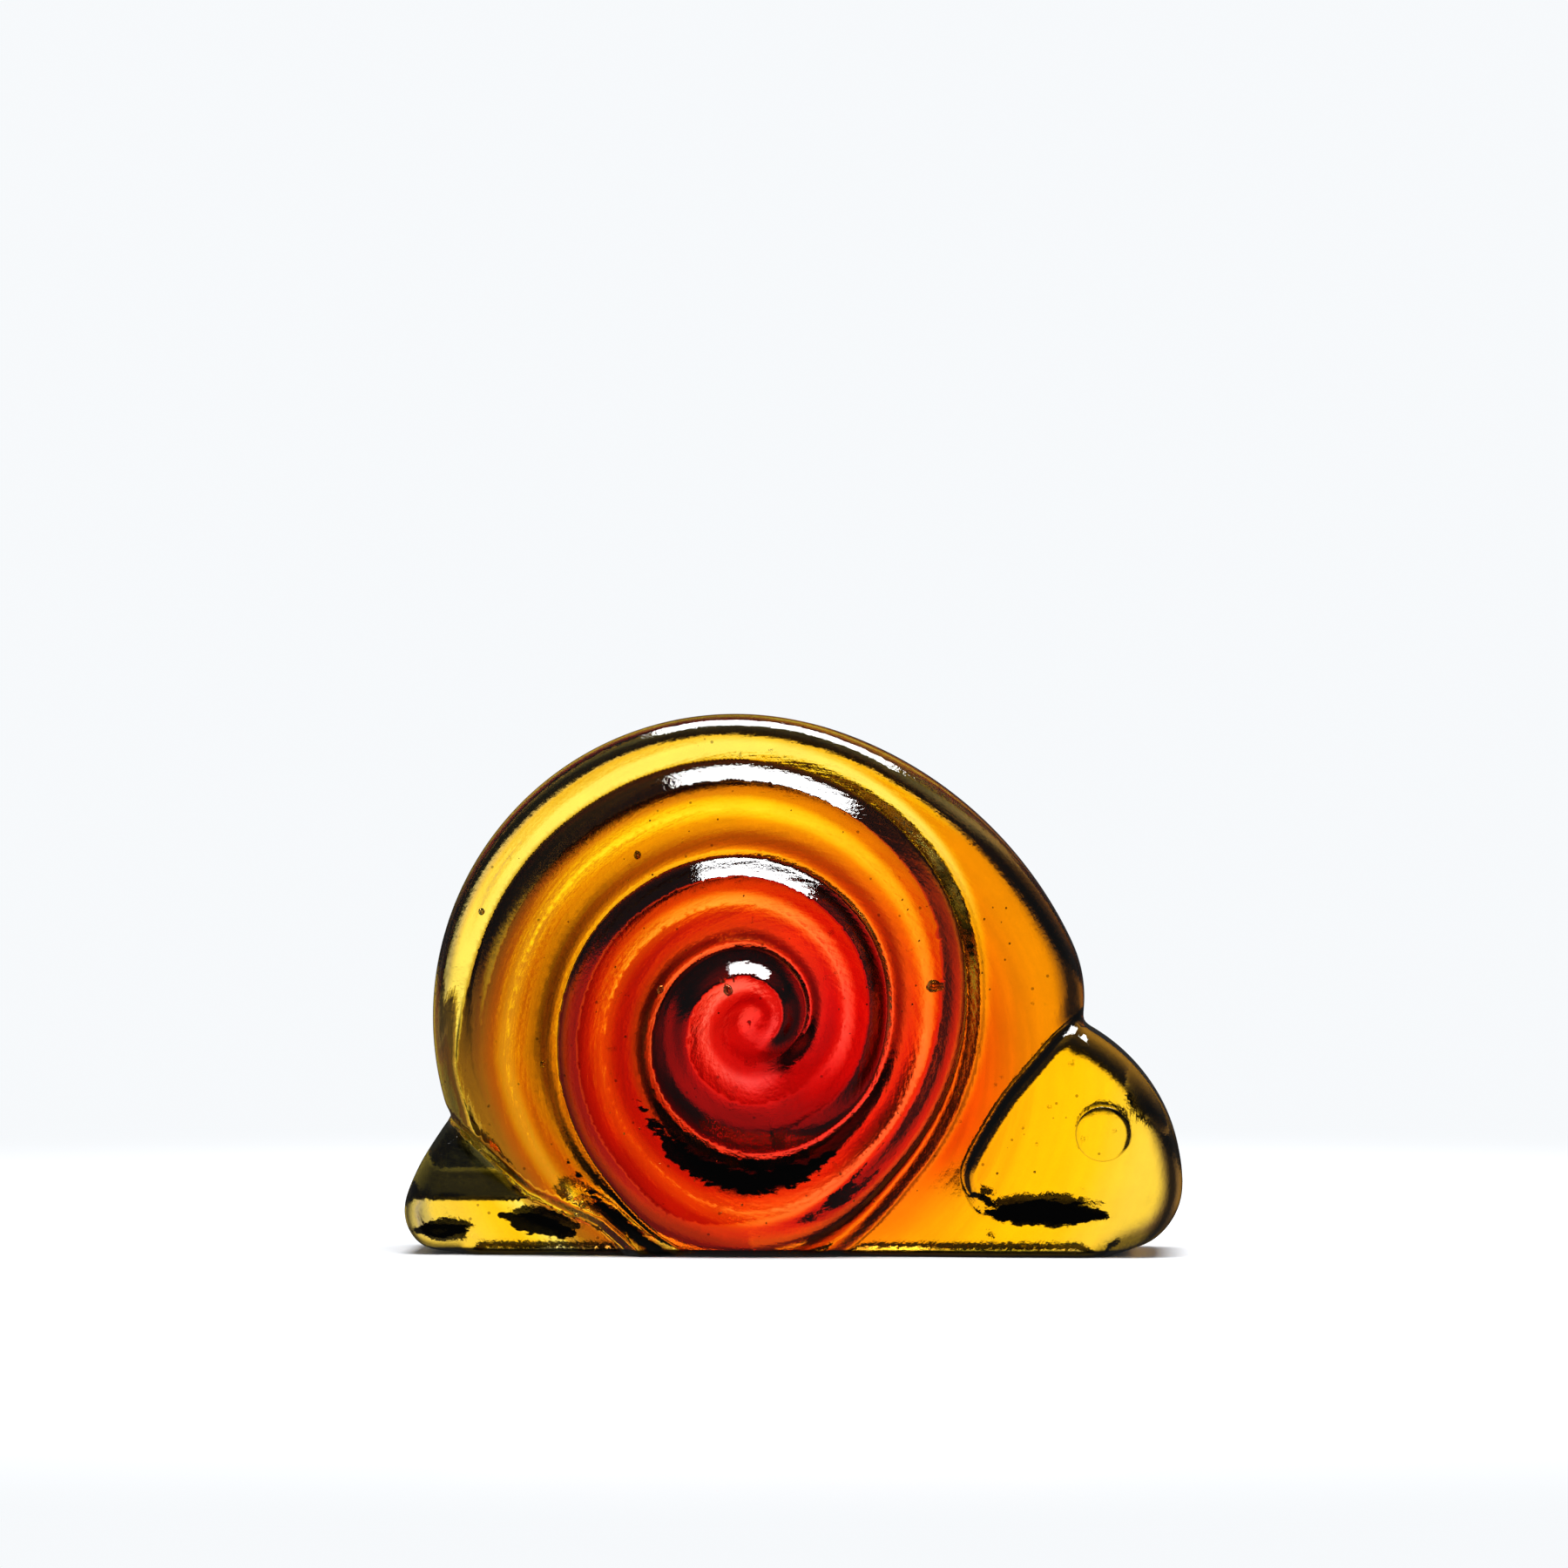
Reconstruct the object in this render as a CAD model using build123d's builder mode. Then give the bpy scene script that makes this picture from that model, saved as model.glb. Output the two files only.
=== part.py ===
from build123d import *
from math import cos, floor, hypot, radians, sin
import os

# Solid pressed-glass snail, standing in one frame: +X towards the head, +Z up,
# one face with the spiral towards -Y and its mirror image towards +Y.
# The origin is on the base, under the middle of the length and thickness.

# Overall sizes, in millimetres
shell_length = 83.7
snail_height = 69.4
head_reach = 12.65
tail_reach = 3.65
thickness = 30.0
snail_length = tail_reach + shell_length + head_reach
shell_left = tail_reach - snail_length / 2
nose_x = snail_length / 2
tail_tip_x = -snail_length / 2

# Half thicknesses, each from the middle plane to one of the two like faces. The
# flat band round the spiral is one level, and the rest stands above it or below
apex_half = thickness / 2
apex_relief = 0.2
spiral_relief = 5.2
crest_fall = 2.5
first_groove_depth = 1.8
last_groove_depth = 3.1
first_crest_half = apex_half - apex_relief
last_crest_half = first_crest_half - crest_fall
first_groove_half = first_crest_half - first_groove_depth
last_groove_half = last_crest_half - last_groove_depth
rim_half = first_crest_half - spiral_relief
head_relief = 1.2
head_half = rim_half + head_relief
jaw_step = 0.4
foot_half = head_half - jaw_step
tail_step = 0.6
tail_half = rim_half - tail_step
tail_slope_drop = 5.8
tail_ridge_half = tail_half - tail_slope_drop
overrun = 5.0

# Roundings of the pressing's edges
rim_round = 4.4
head_round = 4.0
foot_round = 1.6
tail_round = 2.2
jaw_slope = 1.2
neck_bevel = 0.7

# The spiral groove: its centre, and its radius at every eighth of a turn as a
# share of the shell's oval, from the inner end to the tail
spiral_centre_share = (0.4934, 0.4366)
spiral_x = shell_left + spiral_centre_share[0] * shell_length
spiral_z = spiral_centre_share[1] * snail_height
oval_x = spiral_x - shell_left
oval_z = snail_height - spiral_z
eighth = 45
first_angle = -90
groove_radius_shares = [
    0.142, 0.150, 0.173, 0.205, 0.239, 0.258, 0.300, 0.380,
    0.440, 0.432, 0.427, 0.481, 0.539, 0.560, 0.600, 0.690,
    0.822, 0.682, 0.665, 0.762, 0.852, 0.872, 0.904, 1.070,
    1.070, 1.070,
]
rim_limit_share = 0.93

# The angles where one whorl passes into the next, and where the last one ends,
# under the base
core_end = 280
inner_end = 628
middle_end = 988
relief_end = 885
groove_lead = 12
groove_ramp = 80
section_step = 12

# The profile across a whorl, as shares of its width from the inner groove
land_share = 0.08
crest_start_share = 0.36
crest_end_share = 0.60
shoulder_share = 0.80
wall_share = 0.92
shoulder_drop = 0.5
wall_drop_share = 0.50
seat_rise = 0.4
seat_overlap = 1.0
apex_wall_run = 2.2
apex_wall_drop = 2.6

# The shell's outline: points as shares of the shell's length and height
heel_share = (0.175, 0.0)
back_share = (0.0, 0.4395)
crown_share = (0.614, 0.971)
haunch_share = (0.9815, 0.576)
hip_share = (0.978, 0.360)

# The head: outline points as shares of its length, back from the nose, and of
# the height of the neck
head_length = 27.2
neck_height = 30.8
nape_share = (0.717, 1.031)
brow_share = (0.368, 0.904)
forehead_share = (0.118, 0.668)
nose_share = (0.0, 0.308)
chin_share = (0.165, 0.052)
chin_rest_share = (0.331, 0.0)

# The neck line between shell and head, and the jaw line under the head
neck_share = (0.474, 1.0)
throat_share = (0.982, 0.395)
throat_turn_share = (1.010, 0.300)
jaw_rear_share = (0.940, 0.195)
jaw_front_share = (0.330, 0.180)
jaw_end_share = (0.300, 0.0)
heel_of_foot_share = (1.728, 0.0)
arch_share = (1.360, 0.110)

# The tail: outline points as shares of its length and of its height, then the
# line where the shell rests on it, from the notch down to the base
tail_length = 26.0
tail_height = 17.4
tail_side_height = 7.2
tail_notch_share = (0.200, 0.985)
tail_back_share = (0.060, 0.625)
tail_tip_share = (0.0, 0.300)
tail_toe_share = (0.080, 0.070)
tail_rest_share = (0.270, 0.0)
tail_crook_share = (0.627, 0.425)
tail_heel_share = (0.965, 0.207)
tail_root_rest_share = (1.120, 0.0)

# The eyes: low round buttons on both sides of the head
eye_radius = 3.5
eye_rise = 0.45
eye_round = 0.3
eye_share = (0.375, 0.514)

# How near an edge has to lie to an outline to be one of its edges
edge_reach = 0.05


def groove_share(angle):
    """Share of the oval at an angle of the spiral, on a smooth curve."""
    place = (angle - first_angle) / eighth
    last = len(groove_radius_shares) - 1
    index = min(max(floor(place), 0), last - 1)
    t = place - index
    before = groove_radius_shares[max(index - 1, 0)]
    start = groove_radius_shares[index]
    end = groove_radius_shares[index + 1]
    after = groove_radius_shares[min(index + 2, last)]
    leave = (end - before) / 2
    arrive = (after - start) / 2
    rise = end - start
    square = 3 * rise - 2 * leave - arrive
    cube = leave + arrive - 2 * rise
    return start + leave * t + square * t**2 + cube * t**3


def groove_radius(angle):
    """Radius of the groove from the spiral's centre."""
    turn = radians(angle)
    oval = 1 / hypot(cos(turn) / oval_x, sin(turn) / oval_z)
    return min(groove_share(angle), rim_limit_share) * oval


def crest_half(angle):
    """Half thickness on the crest of the whorl."""
    share = (angle - core_end) / (relief_end - core_end)
    return first_crest_half + (last_crest_half - first_crest_half) * share


def groove_half(angle):
    """Half thickness in the bottom of the groove."""
    share = (angle - core_end + 360) / (relief_end - core_end + 360)
    return first_groove_half + (last_groove_half - first_groove_half) * share


def whorl_profile(angle):
    """Corner points (radius, half thickness) across the whorl at an angle."""
    inner = groove_radius(angle - 360)
    outer = groove_radius(angle)
    width = outer - inner
    crest = crest_half(angle)
    depth_share = min((angle - core_end + groove_lead) / groove_ramp, 1)
    land = crest - (crest - groove_half(angle - 360) - seat_rise) * depth_share
    foot = groove_half(angle)
    shoulder = crest - shoulder_drop
    wall = shoulder - (shoulder - foot) * wall_drop_share
    return [
        (inner - seat_overlap, land),
        (inner + width * land_share, land),
        (inner + width * crest_start_share, crest),
        (inner + width * crest_end_share, crest),
        (inner + width * shoulder_share, shoulder),
        (inner + width * wall_share, wall),
        (outer, foot),
    ]


def section_angles(start, end):
    """Evenly spaced angles from the start of a whorl to its end."""
    steps = round((end - start) / section_step)
    return [start + (end - start) * index / steps for index in range(steps + 1)]


def section_plane(angle):
    """Plane through the spiral's axis: local x runs outward, local y along Y."""
    turn = radians(angle)
    return Plane(
        origin=(spiral_x, 0, spiral_z),
        x_dir=(cos(turn), 0, sin(turn)),
        z_dir=(-sin(turn), 0, cos(turn)),
    )


def spiral_point(angle):
    """Point of the groove in the middle plane, as (x, z)."""
    turn = radians(angle)
    radius = groove_radius(angle)
    return (spiral_x + radius * cos(turn), spiral_z + radius * sin(turn))


def shell_point(share):
    """Point of the shell's outline, as (x, z)."""
    return (shell_left + share[0] * shell_length, share[1] * snail_height)


def head_point(share):
    """Point of the head's outline, as (x, z)."""
    return (nose_x - share[0] * head_length, share[1] * neck_height)


def tail_point(share):
    """Point of the tail's outline, as (x, z)."""
    return (tail_tip_x + share[0] * tail_length, share[1] * tail_height)


def middle_plane_line(start, end):
    """A straight edge in the middle plane between two (x, z) points."""
    return Edge.make_line(Vector(start[0], 0, start[1]), Vector(end[0], 0, end[1]))


def face_edges(piece, half, outline):
    """The edges of a piece's two flat faces that run along an outline."""
    found = []
    for edge in piece.edges():
        middle = edge.position_at(0.5)
        over_outline = Vertex(middle.X, 0, middle.Z).distance_to(outline) < edge_reach
        if over_outline and abs(abs(middle.Y) - half) < edge_reach:
            found.append(edge)
    return found


def whorl_sections(start, end):
    """Closed profiles across a whorl, one at each of its angles."""
    sections = []
    for angle in section_angles(start, end):
        front = whorl_profile(angle)
        back = [(radius, -half) for radius, half in reversed(front)]
        with BuildSketch(section_plane(angle)) as section:
            with BuildLine():
                Polyline(front + back, close=True)
            make_face()
        sections.append(section.sketch)
    return sections


# The apex of the shell: the ruby middle of the spiral
with BuildPart() as apex:
    with BuildSketch(Plane.XZ):
        with BuildLine():
            apex_angles = section_angles(core_end - 360, core_end)
            apex_spiral = Spline([spiral_point(angle) for angle in apex_angles])
            Line(apex_spiral @ 1, apex_spiral @ 0)
        make_face()
    extrude(amount=apex_half, both=True)
    apex_rim = Edge.make_spline([Vector(x, 0, z) for x, z in map(spiral_point, apex_angles)])
    chamfer(face_edges(apex, apex_half, apex_rim), length=apex_wall_drop, length2=apex_wall_run)

# Everything below the base is cut away from the whorls
with BuildPart() as under_base:
    with Locations((0, 0, -snail_height / 2)):
        Box(2 * snail_length, 2 * snail_height, snail_height)

# The tail lies outside a line from its notch down to the base
with BuildSketch(Plane.XZ) as tail_zone:
    with BuildLine():
        notch = Vector(*tail_point(tail_notch_share))
        crook = Vector(*tail_point(tail_crook_share))
        heel_of_tail = Vector(*tail_point(tail_heel_share))
        root_rest = Vector(*tail_point(tail_root_rest_share))
        beyond_notch = notch + (notch - crook)
        Polyline(beyond_notch, crook, heel_of_tail, root_rest)
        Polyline(root_rest, (-snail_length, 0), (-snail_length, beyond_notch.Y), beyond_notch)
    make_face()

# The inner whorl, red, one turn outward from the apex
with BuildPart() as inner_whorl:
    loft(whorl_sections(core_end, inner_end))
    add(apex.part, mode=Mode.SUBTRACT)
    add(under_base.part, mode=Mode.SUBTRACT)

# The middle whorl, orange, round to the tail
with BuildPart() as middle_whorl:
    loft(whorl_sections(inner_end, middle_end))
    add(apex.part, mode=Mode.SUBTRACT)
    add(inner_whorl.part, mode=Mode.SUBTRACT)
    add(under_base.part, mode=Mode.SUBTRACT)
    extrude(tail_zone.sketch, amount=thickness, both=True, mode=Mode.SUBTRACT)

# The front of the body, under the neck line and the arch of the foot
with BuildSketch(Plane.XZ) as front_zone:
    with BuildLine():
        throat = Vector(*head_point(throat_share))
        neck = Vector(*head_point(neck_share))
        neck_end = neck + (neck - throat)
        neck_line = Line(neck_end, throat)
        throat_curve = Spline(
            [throat, head_point(throat_turn_share), head_point(jaw_rear_share)],
            tangents=[neck_line % 1, (1, -1)],
        )
        arch = ThreePointArc(
            throat_curve @ 1, head_point(arch_share), head_point(heel_of_foot_share)
        )
        Polyline(arch @ 1, (nose_x + overrun, 0), (nose_x + overrun, neck_end.Y), neck_end)
    make_face()

# The foot's part of it lies under the jaw line, back from the chin
with BuildSketch(Plane.XZ) as foot_zone:
    with BuildLine():
        jaw_front = head_point(jaw_front_share)
        add(arch)
        Polyline(arch @ 1, head_point(jaw_end_share), jaw_front, throat_curve @ 1)
    make_face()

# The head and the foot share one outline, from the nape round the nose
with BuildSketch(Plane.XZ) as front_profile:
    with BuildLine():
        top_arc = ThreePointArc(
            head_point(nape_share), head_point(brow_share), head_point(forehead_share)
        )
        nose_arc = TangentArc(top_arc @ 1, head_point(nose_share), tangent=top_arc % 1)
        chin_arc = TangentArc(nose_arc @ 1, head_point(chin_share), tangent=nose_arc % 1)
        chin_rest = Line(chin_arc @ 1, head_point(chin_rest_share))
        heel_of_foot = head_point(heel_of_foot_share)
        Polyline(chin_rest @ 1, heel_of_foot, (heel_of_foot[0], neck_height), top_arc @ 0)
    make_face()

# The head: flat sides, a rounded outer edge, a bevel along the neck and the jaw
with BuildPart() as head:
    with BuildSketch(Plane.XZ) as head_face:
        add(front_profile.sketch)
        add(front_zone.sketch, mode=Mode.INTERSECT)
        add(foot_zone.sketch, mode=Mode.SUBTRACT)
    extrude(amount=head_half, both=True)
    outer_line = front_profile.sketch.wires()[0]
    outer_edges = face_edges(head, head_half, outer_line)
    head_line = head_face.sketch.wires()[0]
    inner_edges = [
        edge for edge in face_edges(head, head_half, head_line) if edge not in outer_edges
    ]
    chamfer(inner_edges, length=neck_bevel)
    fillet(face_edges(head, head_half, outer_line), radius=head_round)

# The foot: the strip under the jaw, sloped in along the jaw line
with BuildPart() as foot:
    with BuildSketch(Plane.XZ):
        add(front_profile.sketch)
        add(foot_zone.sketch, mode=Mode.INTERSECT)
    extrude(amount=foot_half, both=True)
    jaw_line = middle_plane_line(head_point(jaw_rear_share), head_point(jaw_front_share))
    chamfer(face_edges(foot, foot_half, jaw_line), length=jaw_slope)
    fillet(face_edges(foot, foot_half, outer_line), radius=foot_round)
    add(inner_whorl.part, mode=Mode.SUBTRACT)
    add(middle_whorl.part, mode=Mode.SUBTRACT)

# The outer whorl, amber: the flat band round the spiral and the rounded rim,
# from the foot over the top down to the tail
with BuildPart() as outer_whorl:
    with BuildSketch(Plane.XZ) as shell_profile:
        with BuildLine():
            back_arc = ThreePointArc(
                shell_point(heel_share), shell_point(back_share), shell_point(crown_share)
            )
            crown_arc = TangentArc(
                back_arc @ 1, shell_point(haunch_share), tangent=back_arc % 1
            )
            hip_arc = TangentArc(crown_arc @ 1, shell_point(hip_share), tangent=crown_arc % 1)
            hip = hip_arc @ 1
            fall = hip_arc % 1
            flank = Line(hip, (hip.X - hip.Y * fall.X / fall.Y, 0))
            Line(flank @ 1, back_arc @ 0)
        make_face()
    extrude(amount=rim_half, both=True)
    rim_edges = []
    for edge in face_edges(outer_whorl, rim_half, shell_profile.sketch.wires()[0]):
        if edge.position_at(0.5).Z > edge_reach:
            rim_edges.append(edge)
    fillet(rim_edges, radius=rim_round)
    extrude(front_zone.sketch, amount=thickness, both=True, mode=Mode.SUBTRACT)
    extrude(tail_zone.sketch, amount=thickness, both=True, mode=Mode.SUBTRACT)
    add(apex.part, mode=Mode.SUBTRACT)
    add(inner_whorl.part, mode=Mode.SUBTRACT)
    add(middle_whorl.part, mode=Mode.SUBTRACT)

# The tail: upright sides below, and a gable above them that follows its ridge
with BuildPart() as tail:
    with BuildSketch(Plane.XZ) as tail_profile:
        with BuildLine():
            rest = tail_point(tail_rest_share)
            toe_curve = Spline(
                [rest, tail_point(tail_toe_share), tail_point(tail_tip_share)],
                tangents=[(-1, 0), (0, 1)],
            )
            back_curve = Spline(
                [toe_curve @ 1, tail_point(tail_back_share), notch],
                tangents=[(0, 1), (1, 1)],
            )
            Polyline(back_curve @ 1, crook, heel_of_tail, root_rest, rest)
        make_face()
    extrude(amount=tail_half, both=True)
    with BuildSketch(Plane.YZ):
        with BuildLine():
            Polyline(
                (-tail_half, 0),
                (tail_half, 0),
                (tail_half, tail_side_height),
                (tail_ridge_half, tail_height),
                (-tail_ridge_half, tail_height),
                (-tail_half, tail_side_height),
                close=True,
            )
        make_face()
    extrude(amount=snail_length, both=True, mode=Mode.INTERSECT)
    tip_edges = []
    for edge in face_edges(tail, tail_half, tail_profile.sketch.wires()[0]):
        if edge.position_at(0.5).X < tail_point(tail_rest_share)[0]:
            tip_edges.append(edge)
    fillet(tip_edges, radius=tail_round)

# The two eyes, each seated on its side of the head
eye_x, eye_z = head_point(eye_share)
with BuildPart() as right_eye:
    with BuildSketch(Plane.XZ.offset(head_half)):
        with Locations((eye_x, eye_z)):
            Circle(eye_radius)
    extrude(amount=eye_rise)
    fillet(right_eye.faces().sort_by(Axis.Y)[0].edges(), radius=eye_round)

with BuildPart() as left_eye:
    add(right_eye.part)
    mirror(about=Plane.XZ, mode=Mode.REPLACE)

pieces = {
    "apex": apex,
    "inner_whorl": inner_whorl,
    "middle_whorl": middle_whorl,
    "outer_whorl": outer_whorl,
    "head": head,
    "foot": foot,
    "tail": tail,
    "right_eye": right_eye,
    "left_eye": left_eye,
}
os.makedirs("parts", exist_ok=True)
for name, piece in pieces.items():
    piece.part.label = name
    export_step(piece.part, f"parts/{name}.step")
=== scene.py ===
import logging
import math
from dataclasses import dataclass, field
from enum import Enum

import bmesh
import bpy
import numpy as np
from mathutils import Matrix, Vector, geometry


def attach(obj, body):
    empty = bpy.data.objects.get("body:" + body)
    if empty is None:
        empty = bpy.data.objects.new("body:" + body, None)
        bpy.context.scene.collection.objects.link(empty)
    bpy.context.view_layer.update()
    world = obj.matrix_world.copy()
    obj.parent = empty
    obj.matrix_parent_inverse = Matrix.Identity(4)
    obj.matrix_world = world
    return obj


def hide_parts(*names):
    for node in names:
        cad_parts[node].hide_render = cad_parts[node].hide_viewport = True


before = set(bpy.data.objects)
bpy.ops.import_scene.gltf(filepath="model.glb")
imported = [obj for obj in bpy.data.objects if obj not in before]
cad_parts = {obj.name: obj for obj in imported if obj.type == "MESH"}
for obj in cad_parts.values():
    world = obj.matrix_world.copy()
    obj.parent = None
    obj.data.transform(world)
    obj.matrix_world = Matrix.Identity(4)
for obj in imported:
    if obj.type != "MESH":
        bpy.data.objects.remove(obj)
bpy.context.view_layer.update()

# The look of a solid pressed-glass snail: ruby in the middle of its spiral,
# orange round that, amber and lemon towards the rim, the head and the tail.
# Everything is in metres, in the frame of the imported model.

MM = 0.001
# Keeps a division from meeting a whorl of no width.
LEAST_SHARE = 1e-6
# The depth, in millimetres, of a point that lies in no painted shade patch and on no painted shade line.
CLEAR = -9.0
# The x and z of the place that the colours and the streaks run round.
HEART = (-1.4 * MM, 24.5 * MM)
LOG = logging.getLogger("snail")
Points = np.ndarray
Pair = tuple[float, float]
Colour = tuple[float, float, float]
Socket = bpy.types.NodeSocket


def smooth_step(low: float, high: float, value: Points) -> Points:
    """Rise smoothly from 0 at low to 1 at high.

    Args:
        low: Where the rise begins.
        high: Where it ends.
        value: Numbers to place on the rise.

    Returns:
        Numbers from 0 to 1.
    """
    share = np.clip((value - low) / (high - low), 0.0, 1.0)
    return share * share * (3.0 - 2.0 * share)


def window(opens: Pair, closes: Pair, value: Points) -> Points:
    """Rise from 0 to 1 over the first stretch and fall back over the second."""
    return smooth_step(*opens, value) * (1 - smooth_step(*closes, value))


def mix(start: Points, end: Points, share: Points) -> Points:
    """Return start where share is 0 and end where it is 1."""
    return start + (end - start) * share


def cubic(before: Points, start: Points, end: Points, after: Points, t: Points) -> Points:
    """Pass smoothly from one point to the next.

    Args:
        before: The point before start.
        start: The point where t is 0.
        end: The point where t is 1.
        after: The point after end.
        t: Numbers from 0 to 1.

    Returns:
        Places on the curve.
    """
    leave, arrive, rise = (end - before) / 2, (after - start) / 2, end - start
    square, cube = 3 * rise - 2 * leave - arrive, leave + arrive - 2 * rise
    return start + leave * t + square * t**2 + cube * t**3


class Line2:
    """Polylines in the middle plane, as rows of (x, z)."""

    @staticmethod
    def sweep(centre: Points, radius: float, first: float, last: float, step: float) -> Points:
        """Sample an arc about a centre.

        Args:
            centre: Middle of the arc.
            radius: Its radius.
            first: Turn of its first point, in radians.
            last: Turn of its last point.
            step: Distance between samples.

        Returns:
            Points along the arc, both ends included.
        """
        count = max(int(abs((last - first) * radius) / step), 2)
        turn = np.linspace(first, last, count + 1)
        return centre + radius * np.stack([np.cos(turn), np.sin(turn)], 1)

    @staticmethod
    def swing(ends: Points, centre: Points, radius: float, left: bool, step: float) -> Points:
        """Sample the arc about a centre between two ends.

        Args:
            ends: First and last point.
            centre: Middle of the arc.
            radius: Its radius.
            left: Whether it bends to the left.
            step: Distance between samples.

        Returns:
            Points along the arc, both ends included.
        """
        first, last = (math.atan2(*(end - centre)[::-1]) for end in ends)
        if left:
            last += 2 * math.pi * (last < first)
        else:
            last -= 2 * math.pi * (last > first)
        return Line2.sweep(centre, radius, first, last, step)

    @staticmethod
    def arc(start: Points, through: Points, end: Points, step: float) -> Points:
        """Sample the arc through three points.

        Args:
            start: First point.
            through: A point on the way.
            end: Last point.
            step: Distance between samples.

        Returns:
            Points along the arc, both ends included.
        """
        ways = np.array([through - start, end - start])
        centre = start + np.linalg.solve(2 * ways, np.einsum("ij,ij->i", ways, ways))
        radius = math.hypot(*(start - centre))
        return Line2.swing(np.array([start, end]), centre, radius, np.linalg.det(ways) > 0, step)

    @staticmethod
    def tangent_arc(line: Points, end: Points, step: float) -> Points:
        """Sample the arc that leaves a line's last stretch smoothly.

        Args:
            line: The line that is continued.
            end: Where the arc ends.
            step: Distance between samples.

        Returns:
            Points along the arc, without its first.
        """
        start = line[-1]
        along = (line[-1] - line[-2]) / np.linalg.norm(line[-1] - line[-2])
        chord = end - start
        side = np.array([-along[1], along[0]])
        radius = chord @ chord / (2 * (chord @ side))
        centre = start + side * radius
        return Line2.swing(np.array([start, end]), centre, abs(radius), radius > 0, step)[1:]

    @staticmethod
    def curve(points: Points, step: float) -> Points:
        """Sample a smooth curve through points.

        Args:
            points: Points that the curve passes.
            step: Distance between samples.

        Returns:
            Points along the curve, both ends included.
        """
        ends = np.vstack([2 * points[0] - points[1], points, 2 * points[-1] - points[-2]])
        found = [points[:1]]
        for index in range(len(points) - 1):
            before, start, end, after = ends[index : index + 4]
            count = max(int(np.linalg.norm(end - start) / step), 2)
            t = np.linspace(0, 1, count + 1)[1:, None]
            found.append(cubic(before, start, end, after, t))
        return np.vstack(found)

    @staticmethod
    def even(line: Points, step: float) -> Points:
        """Place samples on a polyline at an even distance.

        Args:
            line: The polyline.
            step: About how far apart the samples lie.

        Returns:
            The samples, both ends included.
        """
        lengths = np.r_[0, np.cumsum(np.linalg.norm(np.diff(line, axis=0), axis=1))]
        count = max(int(lengths[-1] / step), 1)
        places = np.linspace(0, lengths[-1], count + 1)
        return np.stack([np.interp(places, lengths, line[:, axis]) for axis in (0, 1)], 1)

    @staticmethod
    def inside(points: Points, ring: Points) -> Points:
        """Say which points lie inside a closed ring.

        Args:
            points: The points.
            ring: Corners of the ring, the first not repeated.

        Returns:
            True for each point inside.
        """
        x, z = points[:, 0], points[:, 1]
        found = np.zeros(len(points), bool)
        for (ax, az), (bx, bz) in zip(ring, np.roll(ring, -1, axis=0)):
            if az == bz:
                continue
            crosses = (az > z) != (bz > z)
            found ^= crosses & (x < ax + (bx - ax) * (z - az) / (bz - az))
        return found

    @staticmethod
    def distance(points: Points, line: Points) -> Points:
        """Measure how far points lie from a polyline.

        Args:
            points: The points.
            line: The polyline.

        Returns:
            One distance for each point.
        """
        best = np.full(len(points), np.inf)
        for start, end in zip(line[:-1], line[1:]):
            way = end - start
            share = np.clip(((points - start) @ way) / (way @ way), 0, 1)
            off = points - start - share[:, None] * way
            best = np.minimum(best, np.einsum("ij,ij->i", off, off))
        return np.sqrt(best)


@dataclass(frozen=True)
class Coil:
    """Where points lie in the spiral, one number for each point.

    The first, second and third groove are the same groove on its three turns,
    as shares of the oval, in the direction of each point.
    """

    angle: Points
    share: Points
    first: Points
    second: Points
    third: Points
    begun: Points

    @property
    def inner_place(self) -> Points:
        """Return the place between the first and the second groove, from 0 to 1."""
        return (self.share - self.first) / (self.second - self.first)

    @property
    def outer_place(self) -> Points:
        """Return the place between the second and the third groove, from 0 to 1."""
        return (self.share - self.second) / np.maximum(self.third - self.second, LEAST_SHARE)


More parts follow.
